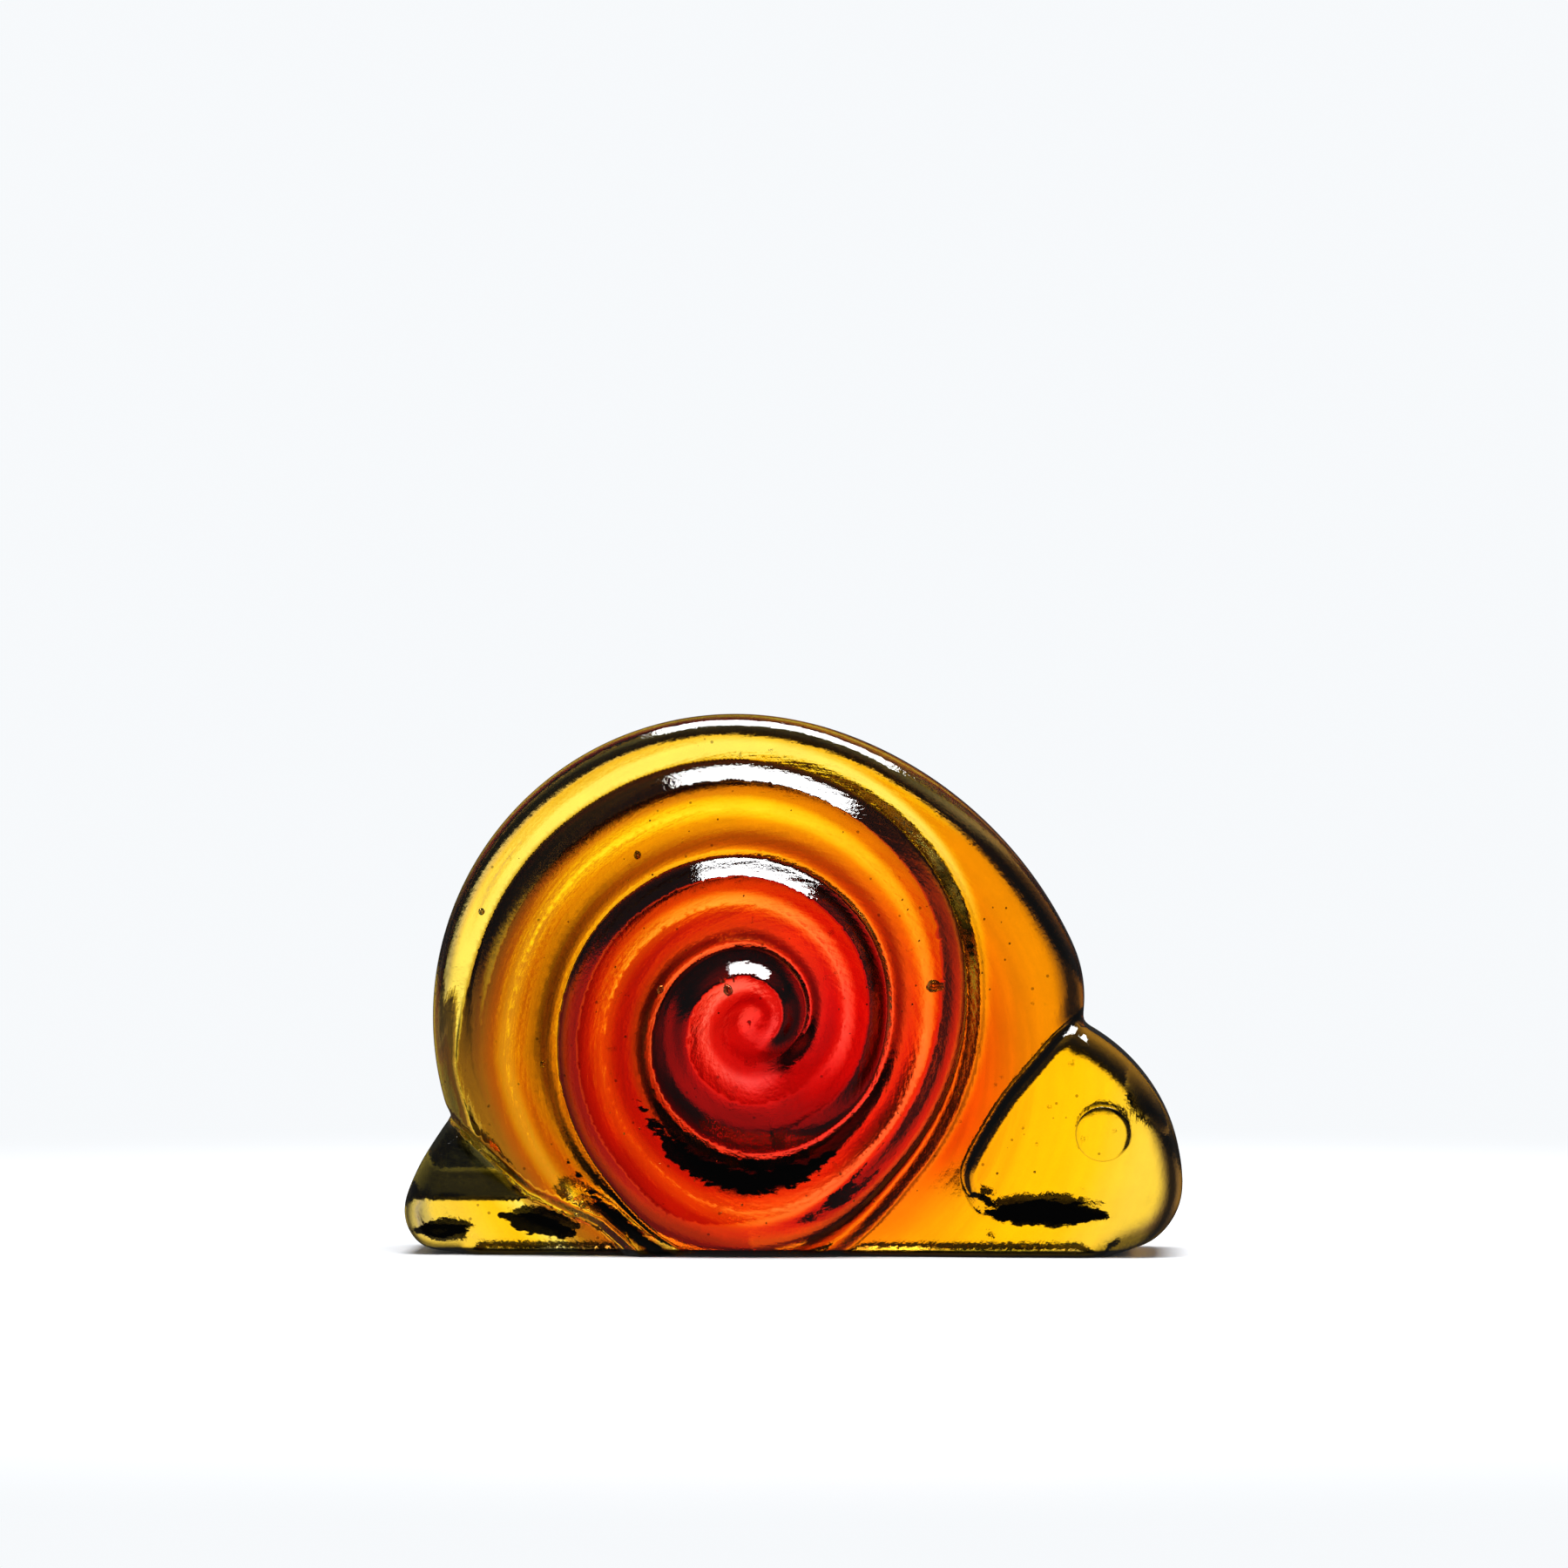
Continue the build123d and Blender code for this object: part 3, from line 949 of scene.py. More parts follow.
    def field(self, points: Points) -> Points:
        """Return the colour that the distance from the heart gives."""
        stops = np.array(self.stops)
        return np.stack([np.interp(self.reach(points) / MM, stops[:, 0], part) for part in stops.T[1:]], 1)

    def across(self, coil: Coil, apex: tuple[float, ...], whorl: tuple[float, ...]) -> Points:
        """Look a tint up across the whorls.

        Args:
            coil: Where the points lie.
            apex: The tint at the apex's places.
            whorl: The tint at a whorl's places.

        Returns:
            One number for each point.
        """
        inner = np.interp(coil.inner_place, self.whorl_places, whorl)
        core = np.interp(coil.share / coil.first, self.apex_places, apex)
        inner = np.where(coil.share < coil.first, core, inner)
        whole = np.interp(coil.share / coil.second, self.apex_places, apex)
        outer = np.interp(coil.outer_place, self.whorl_places, whorl)
        return np.where(coil.share < coil.second, mix(whole, inner, coil.begun), outer)

    def coloured(self, points: Points, coil: Coil, head: Points) -> Points:
        """Return the colour of the glass with its painted shade and painted light, without its edges.

        Args:
            points: Places in the middle plane.
            coil: Where they lie in the spiral.
            head: Which of them are on the head.

        Returns:
            Rows of red, green and blue.
        """
        # The painted shade is made stronger on the left of the spiral and weaker on its right and low side,
        # where the light falls differently.
        turn = np.radians(coil.angle)
        left, right, low = (np.clip(side, 0, 1) for side in (-np.cos(turn), np.cos(turn), -np.sin(turn)))
        shade_strength = 1 + self.left_shade_gain * left - self.right_shade_loss * right - self.low_shade_loss * low
        last = coil.angle + 720
        soft = window(self.soft_opens, self.soft_closes, last) + smooth_step(*self.soft_again, last)
        shade_strength = shade_strength * (1 - self.soft_shade_loss * soft * smooth_step(*self.soft_places, coil.outer_place))
        taken = coil.share < coil.third
        beyond = (coil.share - coil.third) * self.relief.spiral.oval_radius(coil.angle)
        band = ~taken * (1 - smooth_step(*self.band_width, beyond)) * smooth_step(*self.band_z, points[:, 1])
        pale = ~taken * smooth_step(*self.pale_reach, self.reach(points))
        rough = ~taken * (1 - band) * ~head * smooth_step(*self.rough_z, points[:, 1])
        # Painted shade and painted light across the whorls and the apex.
        deep = self.across(coil, self.apex_painted_deep, self.whorl_painted_deep)
        deep = np.where(taken, 1 + (deep - 1) * shade_strength, 1 + self.rough_deep * rough)
        shade = self.across(coil, self.apex_painted_shade, self.whorl_painted_shade)
        shade = np.where(taken, shade**shade_strength, 1 - self.rough_shade * rough)
        colour = mix(self.field(points), np.array(self.lemon), (band * pale * ~head)[:, None])
        colour = colour ** deep[:, None] * shade[:, None]
        # Painted olive shade on the left falls of the outer whorl.
        left_fall_shade = taken * (coil.share > coil.second) * left * smooth_step(*self.left_fall_shade_places, coil.outer_place)
        return mix(colour, np.array(self.olive_shade), (self.left_fall_shade_level * left_fall_shade)[:, None])

    def shade_patch_depth(self, points: Points, coil: Coil) -> Points:
        """Measure how far inside a painted shade patch points lie.

        Args:
            points: Places in the middle plane.
            coil: Where they lie in the spiral.

        Returns:
            Millimetres, less than 0 outside every painted shade patch.
        """
        depth = np.full(len(points), CLEAR * MM)
        inner = (coil.share >= coil.first) & (coil.share < coil.second)
        outer = (coil.share >= coil.second) & (coil.share < coil.third)
        for now, place, angle in (
            (inner, coil.inner_place, coil.angle),
            (outer, coil.outer_place, coil.angle + 360),
        ):
            span = window(self.dark_opens, self.dark_closes, angle) + smooth_step(*self.dark_again, angle)
            found = (self.dark_half * span - np.abs(place - self.dark_place)) * self.dark_width
            depth = np.where(now & (span > 0), found, depth)
        for shade_patch in self.shade_patches:
            depth = np.maximum(depth, shade_patch.depth(points))
        return depth / MM

    def paint(self, points: Points) -> Points:
        """Dress points of the glass.

        Args:
            points: Places in the middle plane.

        Returns:
            Rows of red, green and blue, and of how far inside a painted shade patch and a painted shade line
            they lie.
        """
        outline = self.relief.outline
        coil = self.relief.spiral.locate(points)
        head = Line2.inside(points, outline.head_zone())
        off = Line2.distance(points, outline.neck())
        colour = Edges(outline).paint(points, self.coloured(points, coil, head))
        line = ShadeLines(outline).depth(points, np.where(head, off, -off))
        return np.column_stack([colour, self.shade_patch_depth(points, coil), line])


class Zone(Enum):
    """The moulded zones of the body, each named as its CAD node."""

    APEX = "apex"
    INNER_WHORL = "inner_whorl"
    MIDDLE_WHORL = "middle_whorl"
    OUTER_WHORL = "outer_whorl"
    HEAD = "head"
    FOOT = "foot"
    TAIL = "tail"


class Face(Enum):
    """What a face of a piece is: the glass's skin, or a seam inside the casting."""

    SKIN = 0
    SEAM = 1


@dataclass
class Shell:
    """The faces of one closed mesh, gathered before Blender gets them."""

    verts: list[Points] = field(default_factory=list)
    paints: list[Points] = field(default_factory=list)
    faces: list[tuple[int, ...]] = field(default_factory=list)
    kinds: list[int] = field(default_factory=list)
    normals: list[Points] = field(default_factory=list)
    count: int = 0

    def points(self, verts: Points, paint: Points) -> int:
        """Add points.

        Args:
            verts: Rows of x, y and z.
            paint: Their rows from Tint.paint, or one row for all.

        Returns:
            The number of the first.
        """
        first = self.count
        self.verts.append(verts)
        self.paints.append(np.broadcast_to(paint, (len(verts), paint.shape[1])))
        self.count += len(verts)
        return first

    def add(self, faces: Points, kind: Face, normals: Points) -> None:
        """Add faces of one kind.

        Args:
            faces: Rows of point numbers.
            kind: Skin or seam.
            normals: One normal for each corner of each face.
        """
        self.faces += [tuple(face) for face in faces.tolist()]
        self.kinds += [kind.value] * len(faces)
        self.normals.append(normals.reshape(-1, 3))

    def piece(self, name: str, glass: bpy.types.Material, seam: bpy.types.Material) -> bpy.types.Object:
        """Make the Blender object.

        Args:
            name: Its name.
            glass: The skin's material.
            seam: The seams' material.

        Returns:
            The object.
        """
        mesh = bpy.data.meshes.new(name)
        mesh.from_pydata(np.vstack(self.verts).tolist(), [], self.faces)
        mesh.polygons.foreach_set("material_index", np.array(self.kinds, np.int32))
        mesh.polygons.foreach_set("use_smooth", np.ones(len(self.faces), bool))
        mesh.update()
        normals = np.vstack(self.normals)
        normals /= np.linalg.norm(normals, axis=1)[:, None]
        mesh.normals_split_custom_set(normals.tolist())
        paint = np.vstack(self.paints)
        tint = mesh.attributes.new("tint", "FLOAT_COLOR", "POINT")
        tint.data.foreach_set("color", np.column_stack([paint[:, :3], np.ones(len(paint))]).ravel())
        # The depths of the painted shade patches and of the painted shade lines.
        for column, label in ((3, "shade_patch"), (4, "shade_line")):
            depth = mesh.attributes.new(label, "FLOAT", "POINT")
            depth.data.foreach_set("value", np.ascontiguousarray(paint[:, column]))
        mesh.materials.append(glass)
        mesh.materials.append(seam)
        piece = bpy.data.objects.new(name, mesh)
        bpy.context.scene.collection.objects.link(piece)
        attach(piece, "root")
        LOG.info("%s: %d faces", name, len(self.faces))
        return piece


@dataclass(frozen=True)
class Seeds:
    """Bubbles and specks that the molten glass kept."""

    bubbles: tuple[tuple[float, float, float], ...] = (
        (18.1 * MM, 34.6 * MM, 0.72 * MM), (-19.9 * MM, 51.6 * MM, 0.50 * MM),
        (-16.9 * MM, 34.2 * MM, 0.60 * MM), (-8.0 * MM, 34.1 * MM, 0.60 * MM),
        (-32.0 * MM, 24.5 * MM, 0.42 * MM), (-39.9 * MM, 44.0 * MM, 0.40 * MM),
        (-27.1 * MM, 6.2 * MM, 0.45 * MM),
    )
    specks: int = 130
    smallest: float = 0.07 * MM
    largest: float = 0.17 * MM
    seed: int = 11
    middle: Pair = (-2 * MM, 30 * MM)
    spread: Pair = (44 * MM, 36 * MM)
    crowd_power: float = 0.6
    bubble_level: int = 3
    speck_level: int = 1
    thicker: float = 1.15
    clearance: float = 1.6
    shallow_share: float = 0.93
    scatter_share: float = 0.3
    tint: Colour = (0.9, 0.8, 0.6)

    def places(self) -> list[tuple[float, float, float]]:
        """Scatter the seeds.

        Returns:
            Each seed's x, z and radius.
        """
        draw = np.random.default_rng(self.seed)
        found = list(self.bubbles)
        for _ in range(self.specks):
            turn, reach = draw.uniform(0, 2 * math.pi), draw.uniform(0, 1) ** self.crowd_power
            x = self.middle[0] + self.spread[0] * reach * math.cos(turn)
            z = self.middle[1] + self.spread[1] * reach * math.sin(turn)
            found.append((x, z, draw.uniform(self.smallest, self.largest)))
        return found

    def blow(self, shell: Shell, place: tuple[float, float, float], half: float) -> None:
        """Add one cavity to a piece, under its front.

        Args:
            shell: The piece.
            place: The cavity's x, z and radius.
            half: Half the piece's thickness there.
        """
        x, z, radius = place
        share = self.shallow_share - self.scatter_share * math.sin(x / MM) ** 2
        ball = bmesh.new()
        level = self.bubble_level if radius > self.largest else self.speck_level
        bmesh.ops.create_icosphere(ball, subdivisions=level, radius=radius)
        verts = np.array([tuple(vert.co) for vert in ball.verts])
        faces = np.array([[vert.index for vert in face.verts][::-1] for face in ball.faces])
        ball.free()
        moved = verts * [1.0, 1.0, self.thicker] + [x, -(half - self.clearance * radius) * share, z]
        first = shell.points(moved, np.array([[*self.tint, CLEAR, CLEAR]]))
        shell.add(faces + first, Face.SKIN, -verts[faces])


@dataclass
class Pressing:
    """The glass body: one triangulation of the silhouette, cut into zones.

    The line shifts, the eye reaches, the base rows and the grid are in millimetres.
    """

    glass: bpy.types.Material
    seam: bpy.types.Material
    relief: Relief = field(default_factory=Relief)
    seeds: Seeds = field(default_factory=Seeds)
    spacing: float = 0.5 * MM
    crowding: float = 0.2 * MM
    cell_share: float = 1.01
    whorl_shares: tuple[float, ...] = (
        0.01, 0.04, 0.07, 0.10, 0.13, 0.16, 0.19, 0.22, 0.26, 0.31, 0.37, 0.43,
        0.49, 0.55, 0.61, 0.67, 0.74, 0.81, 0.87, 0.93, 0.97,
    )
    rim_degrees: int = 7
    rim_end: int = 92
    line_shifts: tuple[float, ...] = (-1.9, -1.4, -1.0, -0.65, -0.3, 0.3, 0.6, 0.95, 1.35)
    eye_reaches: tuple[float, ...] = (2.5, 2.8, 3.05, 3.28, 3.72, 3.95)
    base_rows: tuple[float, ...] = (0.04, 0.12, 0.26, 0.46, 0.75)
    base_samples: int = 220
    grid_left: float = -50
    grid_right: float = 50
    grid_top: float = 70
    grid_cell: Pair = (0.5, 0.45)
    merging: float = 1e-5
    least_area: float = 1e-12
    hair: float = 0.01 * MM
    edge_lean: float = 0.02
    eye_bevel: float = 1.2
    outermost: float = 2000.0
    zone_ends: tuple[tuple[Zone, float], ...] = (
        (Zone.MIDDLE_WHORL, 988),
        (Zone.INNER_WHORL, 628),
        (Zone.APEX, 280),
    )
    slots: tuple[tuple[Zone, str], ...] = (
        (Zone.APEX, "ruby_glass"),
        (Zone.INNER_WHORL, "red_glass"),
        (Zone.MIDDLE_WHORL, "orange_glass"),
        (Zone.OUTER_WHORL, "amber_glass"),
        (Zone.HEAD, "yellow_glass"),
        (Zone.FOOT, "yellow_glass"),
        (Zone.TAIL, "yellow_glass"),
    )

    def build(self) -> None:
        """Triangulate the silhouette and make one closed piece for each zone and eye."""
        outline = self.relief.outline
        ring = outline.ring()
        base = Line2.even(np.array([ring[-1], ring[0]]), self.spacing)[1:-1]
        self.closed = np.vstack([ring, base])
        self.triangulate(ring)
        self.height = self.relief.measure(self.flat)
        self.paint = Tint(self.relief).paint(self.flat)
        self.normal = self.upright(self.relief.slope(self.flat))
        self.outward(ring)
        centres = self.flat[self.faces].mean(1)
        self.zones = self.sort(centres)
        self.in_eye = Line2.inside(centres, outline.eye_ring())
        for zone, slot in self.slots:
            piece = self.body(zone)
            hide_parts(zone.value)
        for name, side in (("right_eye", -1.0), ("left_eye", 1.0)):
            piece = self.eye(name, side)
            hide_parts(name)

    def lines(self) -> list[Points]:
        """Gather the moulded lines that triangles don't cross.

        Returns:
            The lines, the eye's ring last.
        """
        spiral, outline = self.relief.spiral, self.relief.outline
        return [
            spiral.line(spiral.groove_start, spiral.groove_end, self.spacing),
            Line2.even(outline.neck(), self.spacing)[:-1],
            Line2.even(outline.arch(), self.spacing),
            Line2.even(outline.jaw(), self.spacing)[1:],
            Line2.even(outline.tail_line(), self.spacing),
            outline.eye_ring()[:-1],
        ]

    def filling(self, ring: Points) -> Points:
        """Choose points between the moulded lines, close together where the glass bends.

        Args:
            ring: The silhouette but its base.

        Returns:
            The points, some of them outside the silhouette.
        """
        spiral, outline = self.relief.spiral, self.relief.outline
        wanted = [
            spiral.line(spiral.groove_start, spiral.groove_end, self.spacing, share)
            for share in self.whorl_shares
        ]
        way = self.ring_normals(ring)
        for degree in range(self.rim_degrees, self.rim_end, self.rim_degrees):
            wanted.append(ring - way * self.relief.rim_round * (1 - math.cos(math.radians(degree))))
        for line in (outline.neck(), outline.tail_line()):
            line = Line2.even(line, self.spacing)
            for shift in self.line_shifts:
                wanted.append(line + self.ring_normals(line) * shift * MM)
        for reach in self.eye_reaches:
            wanted.append(Line2.sweep(outline.eye_centre, reach * MM, 0, 2 * math.pi, outline.eye_step))
        for low in self.base_rows:
            across = np.linspace(ring[0][0], ring[-1][0], self.base_samples)
            wanted.append(np.stack([across, np.full(len(across), low * MM)], 1))
        wide, high = self.grid_cell
        grid = np.mgrid[self.grid_left : self.grid_right : wide, 0 : self.grid_top : high]
        return np.vstack([*wanted, grid.reshape(2, -1).T * MM])

    def triangulate(self, ring: Points) -> None:
        """Cut the silhouette into triangles that follow every moulded line.

        Args:
            ring: The silhouette but its base.
        """
        count = len(self.closed)
        edges = [(index, (index + 1) % count) for index in range(count)]
        rows = [self.closed]
        for line in self.lines():
            kept = line[Line2.inside(line, self.closed)]
            edges += [(count + i, count + i + 1) for i in range(len(kept) - 1)]
            rows.append(kept)
            count += len(kept)
        # The last of the lines, the eye's ring, is closed.
        edges.append((count - len(kept), count - 1))
        fixed, wanted = np.vstack(rows), self.filling(ring)
        kept = self.thin(fixed, wanted[Line2.inside(wanted, self.closed)])
        every = [Vector(point) for point in (np.vstack([fixed, kept]) / MM).tolist()]
        verts, _, faces, _, _, _ = geometry.delaunay_2d_cdt(every, edges, [], 0, self.merging)
        self.flat = np.array([tuple(vert) for vert in verts]) * MM
        faces = np.array([face for face in faces if len(face) == 3])
        a, b, c = (self.flat[faces[:, corner]] for corner in range(3))
        turn = (b[:, 0] - a[:, 0]) * (c[:, 1] - a[:, 1]) - (b[:, 1] - a[:, 1]) * (c[:, 0] - a[:, 0])
        faces[turn < 0] = faces[turn < 0][:, ::-1]
        inside = Line2.inside(self.flat[faces].mean(1), self.closed)
        self.faces = faces[inside & (np.abs(turn) > self.least_area)]

    @staticmethod
    def ring_normals(ring: Points) -> Points:
        """Find the outward ways of a line.

        Args:
            ring: Points of a line that runs clockwise.

        Returns:
            One unit way for each point.
        """
        along = np.gradient(ring, axis=0)
        way = np.stack([-along[:, 1], along[:, 0]], 1)
        return way / np.linalg.norm(way, axis=1)[:, None]

    @staticmethod
    def upright(slope: Points) -> Points:
        """Return the normals of the front from its slopes."""
        return np.stack([-slope[:, 0], -np.ones(len(slope)), -slope[:, 1]], 1)

    @staticmethod
    def raised(flat: Points, depth: Points) -> Points:
        """Return points of the middle plane moved to their depths along y."""
        return np.stack([flat[:, 0], depth, flat[:, 1]], 1)

    def outward(self, ring: Points) -> None:
        """Turn the normals on the silhouette straight out of it.

        Args:
            ring: The silhouette but its base.
        """
        way = self.ring_normals(ring)
        cells = {tuple(point): index for index, point in enumerate(np.round(ring / MM, 3).tolist())}
        for index, point in enumerate(np.round(self.flat / MM, 3).tolist()):
            found = cells.get(tuple(point))
            if found is not None and point[1] > 0:
                self.normal[index] = (way[found][0], -self.edge_lean, way[found][1])

    def thin(self, fixed: Points, wanted: Points) -> Points:
        """Drop the wanted points that crowd each other or the fixed ones.

        Args:
            fixed: Points that stay.
            wanted: Points that may go.

        Returns:
            The wanted points that are kept.
        """
        cell = self.crowding * self.cell_share
        taken: dict[tuple[int, int], list[list[float]]] = {}
        kept = []
        for order, point in enumerate(np.vstack([fixed, wanted]).tolist()):
            x, z = int(point[0] // cell), int(point[1] // cell)
            near = [
                other
                for dx in (-1, 0, 1)
                for dz in (-1, 0, 1)
                for other in taken.get((x + dx, z + dz), ())
                if math.hypot(other[0] - point[0], other[1] - point[1]) < self.crowding
            ]
            if order < len(fixed) or not near:
                taken.setdefault((x, z), []).append(point)
                if order >= len(fixed):
                    kept.append(point)
        return np.array(kept)

    def sort(self, centres: Points) -> Points:
        """Find the zone that each place belongs to.

        Args:
            centres: Places in the middle plane.

        Returns:
            Numbers of zones, in the order of Zone.
        """
        outline = self.relief.outline
        coil = self.relief.spiral.locate(centres)
        total = np.full(len(centres), self.outermost)
        for turn, groove in ((2, coil.third), (1, coil.second), (0, coil.first)):
            total = np.where(coil.share < groove, coil.angle + 360 * turn, total)
        order = list(Zone)
        found = np.full(len(centres), order.index(Zone.OUTER_WHORL))
        found[Line2.inside(centres, outline.front_zone())] = order.index(Zone.HEAD)
        found[Line2.inside(centres, outline.foot_zone())] = order.index(Zone.FOOT)
        for zone, end in self.zone_ends:
            found[total < end] = order.index(zone)
        found[Line2.inside(centres, outline.tail_zone())] = order.index(Zone.TAIL)
        return found

    def body(self, zone: Zone) -> bpy.types.Object:
        """Make the closed piece of a zone, with its seeds.

        Args:
            zone: The zone.

        Returns:
            The object.
        """
        chosen = self.zones == list(Zone).index(zone)
        used, local = np.unique(self.faces[chosen], return_inverse=True)
        local, eye = local.reshape(-1, 3), self.in_eye[chosen]
        flat, half, normal = self.flat[used], self.height[used], self.normal[used]
        mirrored = normal * [1, -1, 1]
        shell = Shell()
        front = shell.points(self.raised(flat, -half), self.paint[used])
        back = shell.points(self.raised(flat, half), self.paint[used])
        for part, kind in ((~eye, Face.SKIN), (eye, Face.SEAM)):
            near, far = local[part], local[part][:, ::-1]
            shell.add(near + front, kind, normal[near])
            shell.add(far + back, kind, mirrored[far])
        self.walls(shell, flat, normal, local)
        for place in self.seeds.places():
            self.seed(shell, zone, place)
        return shell.piece(zone.value + "_glass", self.glass, self.seam)

    def walls(self, shell: Shell, flat: Points, normal: Points, local: Points) -> None:
        """Close a piece between its two faces, whose points are all it has so far.

        Args:
            shell: The piece.
            flat: Its points in the middle plane.
            normal: Their normals on the front.
            local: Its triangles.
        """
        back = len(flat)
        sides = np.vstack([local[:, [0, 1]], local[:, [1, 2]], local[:, [2, 0]]])
        known = {(i, j) for i, j in sides.tolist()}
        border = np.array(sorted((i, j) for i, j in known if (j, i) not in known))
        middle = (flat[border[:, 0]] + flat[border[:, 1]]) / 2
        outer = Line2.distance(middle, np.vstack([self.closed, self.closed[:1]])) < self.hair
        for part, kind in ((outer, Face.SKIN), (~outer, Face.SEAM)):
            first, last = border[part, 0], border[part, 1]
            quads = np.stack([last, first, first + back, last + back], 1)
            along = flat[last] - flat[first]
            straight = np.stack([along[:, 1], np.zeros(len(along)), -along[:, 0]], 1)
            corners = np.repeat(straight[:, None, :], 4, axis=1)
            if kind is Face.SKIN:
                above = flat[first][:, 1] + flat[last][:, 1] > self.spacing / 2
                soft = np.stack([normal[last], normal[first], normal[first], normal[last]], 1)
                soft[:, :, 1] = 0
                corners[above] = soft[above]
            shell.add(quads, kind, corners)

    def seed(self, shell: Shell, zone: Zone, place: tuple[float, float, float]) -> None:
        """Add a seed to a zone's piece where it lies wholly inside.

        Args:
            shell: The piece.
            zone: Its zone.
            place: The seed's x, z and radius.
        """
        x, z, radius = place
        reach = radius * self.seeds.clearance
        around = np.array([[x, z], [x + reach, z], [x - reach, z], [x, z + reach], [x, z - reach]])
        inside = Line2.inside(around, self.closed).all()
        if inside and (self.sort(around) == list(Zone).index(zone)).all():
            self.seeds.blow(shell, place, float(self.relief.measure(around).min()))

    def eye(self, name: str, side: float) -> bpy.types.Object:
        """Make one eye: a button that stands on a face of the head.

        Args:
            name: Its name.
            side: -1 for the front and 1 for the back.

        Returns:
            The object.
        """
        used, local = np.unique(self.faces[self.in_eye], return_inverse=True)
        local = local.reshape(-1, 3)
        flat, half, seat = self.flat[used], self.height[used], self.normal[used]
        centre, radius = self.relief.outline.eye_centre, self.relief.outline.eye_radius
        inner = np.linalg.norm(flat - centre, axis=1) < radius - self.relief.tiny
        top = self.upright(self.relief.slope(flat, eye=True))
        steep = self.raised((flat - centre) / radius, np.full(len(flat), -self.eye_bevel))
        top = np.where(inner[:, None], top, steep) * [1, -side, 1]
        rise = self.relief.button(flat) * inner
        shell = Shell()
        seated = shell.points(self.raised(flat, side * half), self.paint[used])
        proud = np.arange(len(flat))
        proud[inner] = len(flat) + np.arange(inner.sum())
        shell.points(self.raised(flat, side * (half + rise))[inner], self.paint[used][inner])
        out = local if side < 0 else local[:, ::-1]
        shell.add(proud[out], Face.SKIN, top[out])
        shell.add(out[:, ::-1] + seated, Face.SEAM, (-seat * [1, -side, 1])[out[:, ::-1]])
        return shell.piece(name + "_glass", self.glass, self.seam)


class Nodes:
    """Short ways to add shader nodes to a tree."""

    def __init__(self, tree: bpy.types.NodeTree) -> None:
        """Take a tree and empty it."""
        self.tree = tree
        tree.nodes.clear()

    @staticmethod
    def material(name: str) -> tuple[bpy.types.Material, "Nodes", Socket]:
        """Start a material.

        Args:
            name: Its name.

        Returns:
            The material, its nodes and the socket that its surface goes into.
        """
        material = bpy.data.materials.new(name)
        material.use_nodes = True
        nodes = Nodes(material.node_tree)
        return material, nodes, nodes.add("ShaderNodeOutputMaterial").inputs["Surface"]

    def add(self, kind: str, **settings: object) -> bpy.types.Node:
        """Add a node.

        Args:
            kind: Its type.
            settings: Its properties.

        Returns:
            The node.
        """
        node = self.tree.nodes.new(kind)
        for name, value in settings.items():
            setattr(node, name, value)
        return node

    def feed(self, socket: Socket, value: object) -> None:
        """Link an output to a socket, or set the socket's own value.

        Args:
            socket: The socket.
            value: An output, or a plain value.
        """
        if isinstance(value, Socket):
            self.tree.links.new(value, socket)
        else:
            socket.default_value = value

    def feed_all(self, node: bpy.types.Node, names: tuple, values: tuple) -> bpy.types.Node:
        """Feed several inputs of a node.

        Args:
            node: The node.
            names: Names or numbers of its inputs.
            values: What goes into each.

        Returns:
            The node.
        """
        for name, value in zip(names, values):
            self.feed(node.inputs[name], value)
        return node

    def math(self, operation: str, *values: object) -> Socket:
        """Add a math node and return its output."""
        node = self.add("ShaderNodeMath", operation=operation)
        return self.feed_all(node, (0, 1, 2), values).outputs[0]

    def vector(self, operation: str, *values: object) -> bpy.types.Node:
        """Add a vector math node."""
        node = self.add("ShaderNodeVectorMath", operation=operation)
        return self.feed_all(node, (0, 1), values)

    def scaled(self, value: Socket, scale: object) -> Socket:
        """Return a vector times a number."""
        return self.feed_all(self.vector("SCALE", value), ("Scale",), (scale,)).outputs[0]

    def ramp(self, value: object, span: Pair, start: object, end: object) -> Socket:
        """Change smoothly from one number to another.

        Args:
            value: What the change follows.
            span: The values between which it runs.
            start: The number below them.
            end: The number above them.

        Returns:
            The output.
        """
        node = self.add("ShaderNodeMapRange", interpolation_type="SMOOTHSTEP")
        names = ("Value", "From Min", "From Max", "To Min", "To Max")
        return self.feed_all(node, names, (value, *span, start, end)).outputs[0]

    def turn(self, value: object, span: Pair, start: object, end: object) -> Socket:
        """Change smoothly between two angles in degrees, where the value is in radians."""
        return self.ramp(value, tuple(map(math.radians, span)), start, end)

    def noise(self, place: object, scale: float, detail: float) -> Socket:
        """Return noise from 0 to 1 at a place."""
        node = self.add("ShaderNodeTexNoise")
        return self.feed_all(node, ("Vector", "Scale", "Detail"), (place, scale, detail)).outputs["Fac"]

    def blend(self, share: object, first: Socket, second: Socket) -> Socket:
        """Mix two shaders."""
        return self.feed_all(self.add("ShaderNodeMixShader"), (0, 1, 2), (share, first, second)).outputs[0]

    def attribute(self, name: str, output: str) -> Socket:
        """Return one of the mesh's own attributes."""
        return self.add("ShaderNodeAttribute", attribute_name=name).outputs[output]

    def direction(self) -> bpy.types.Node:
        """Return a node that splits a world's direction into X, Y and Z."""
        generated = self.add("ShaderNodeTexCoord").outputs["Generated"]
        return self.feed_all(self.add("ShaderNodeSeparateXYZ"), (0,), (generated,))


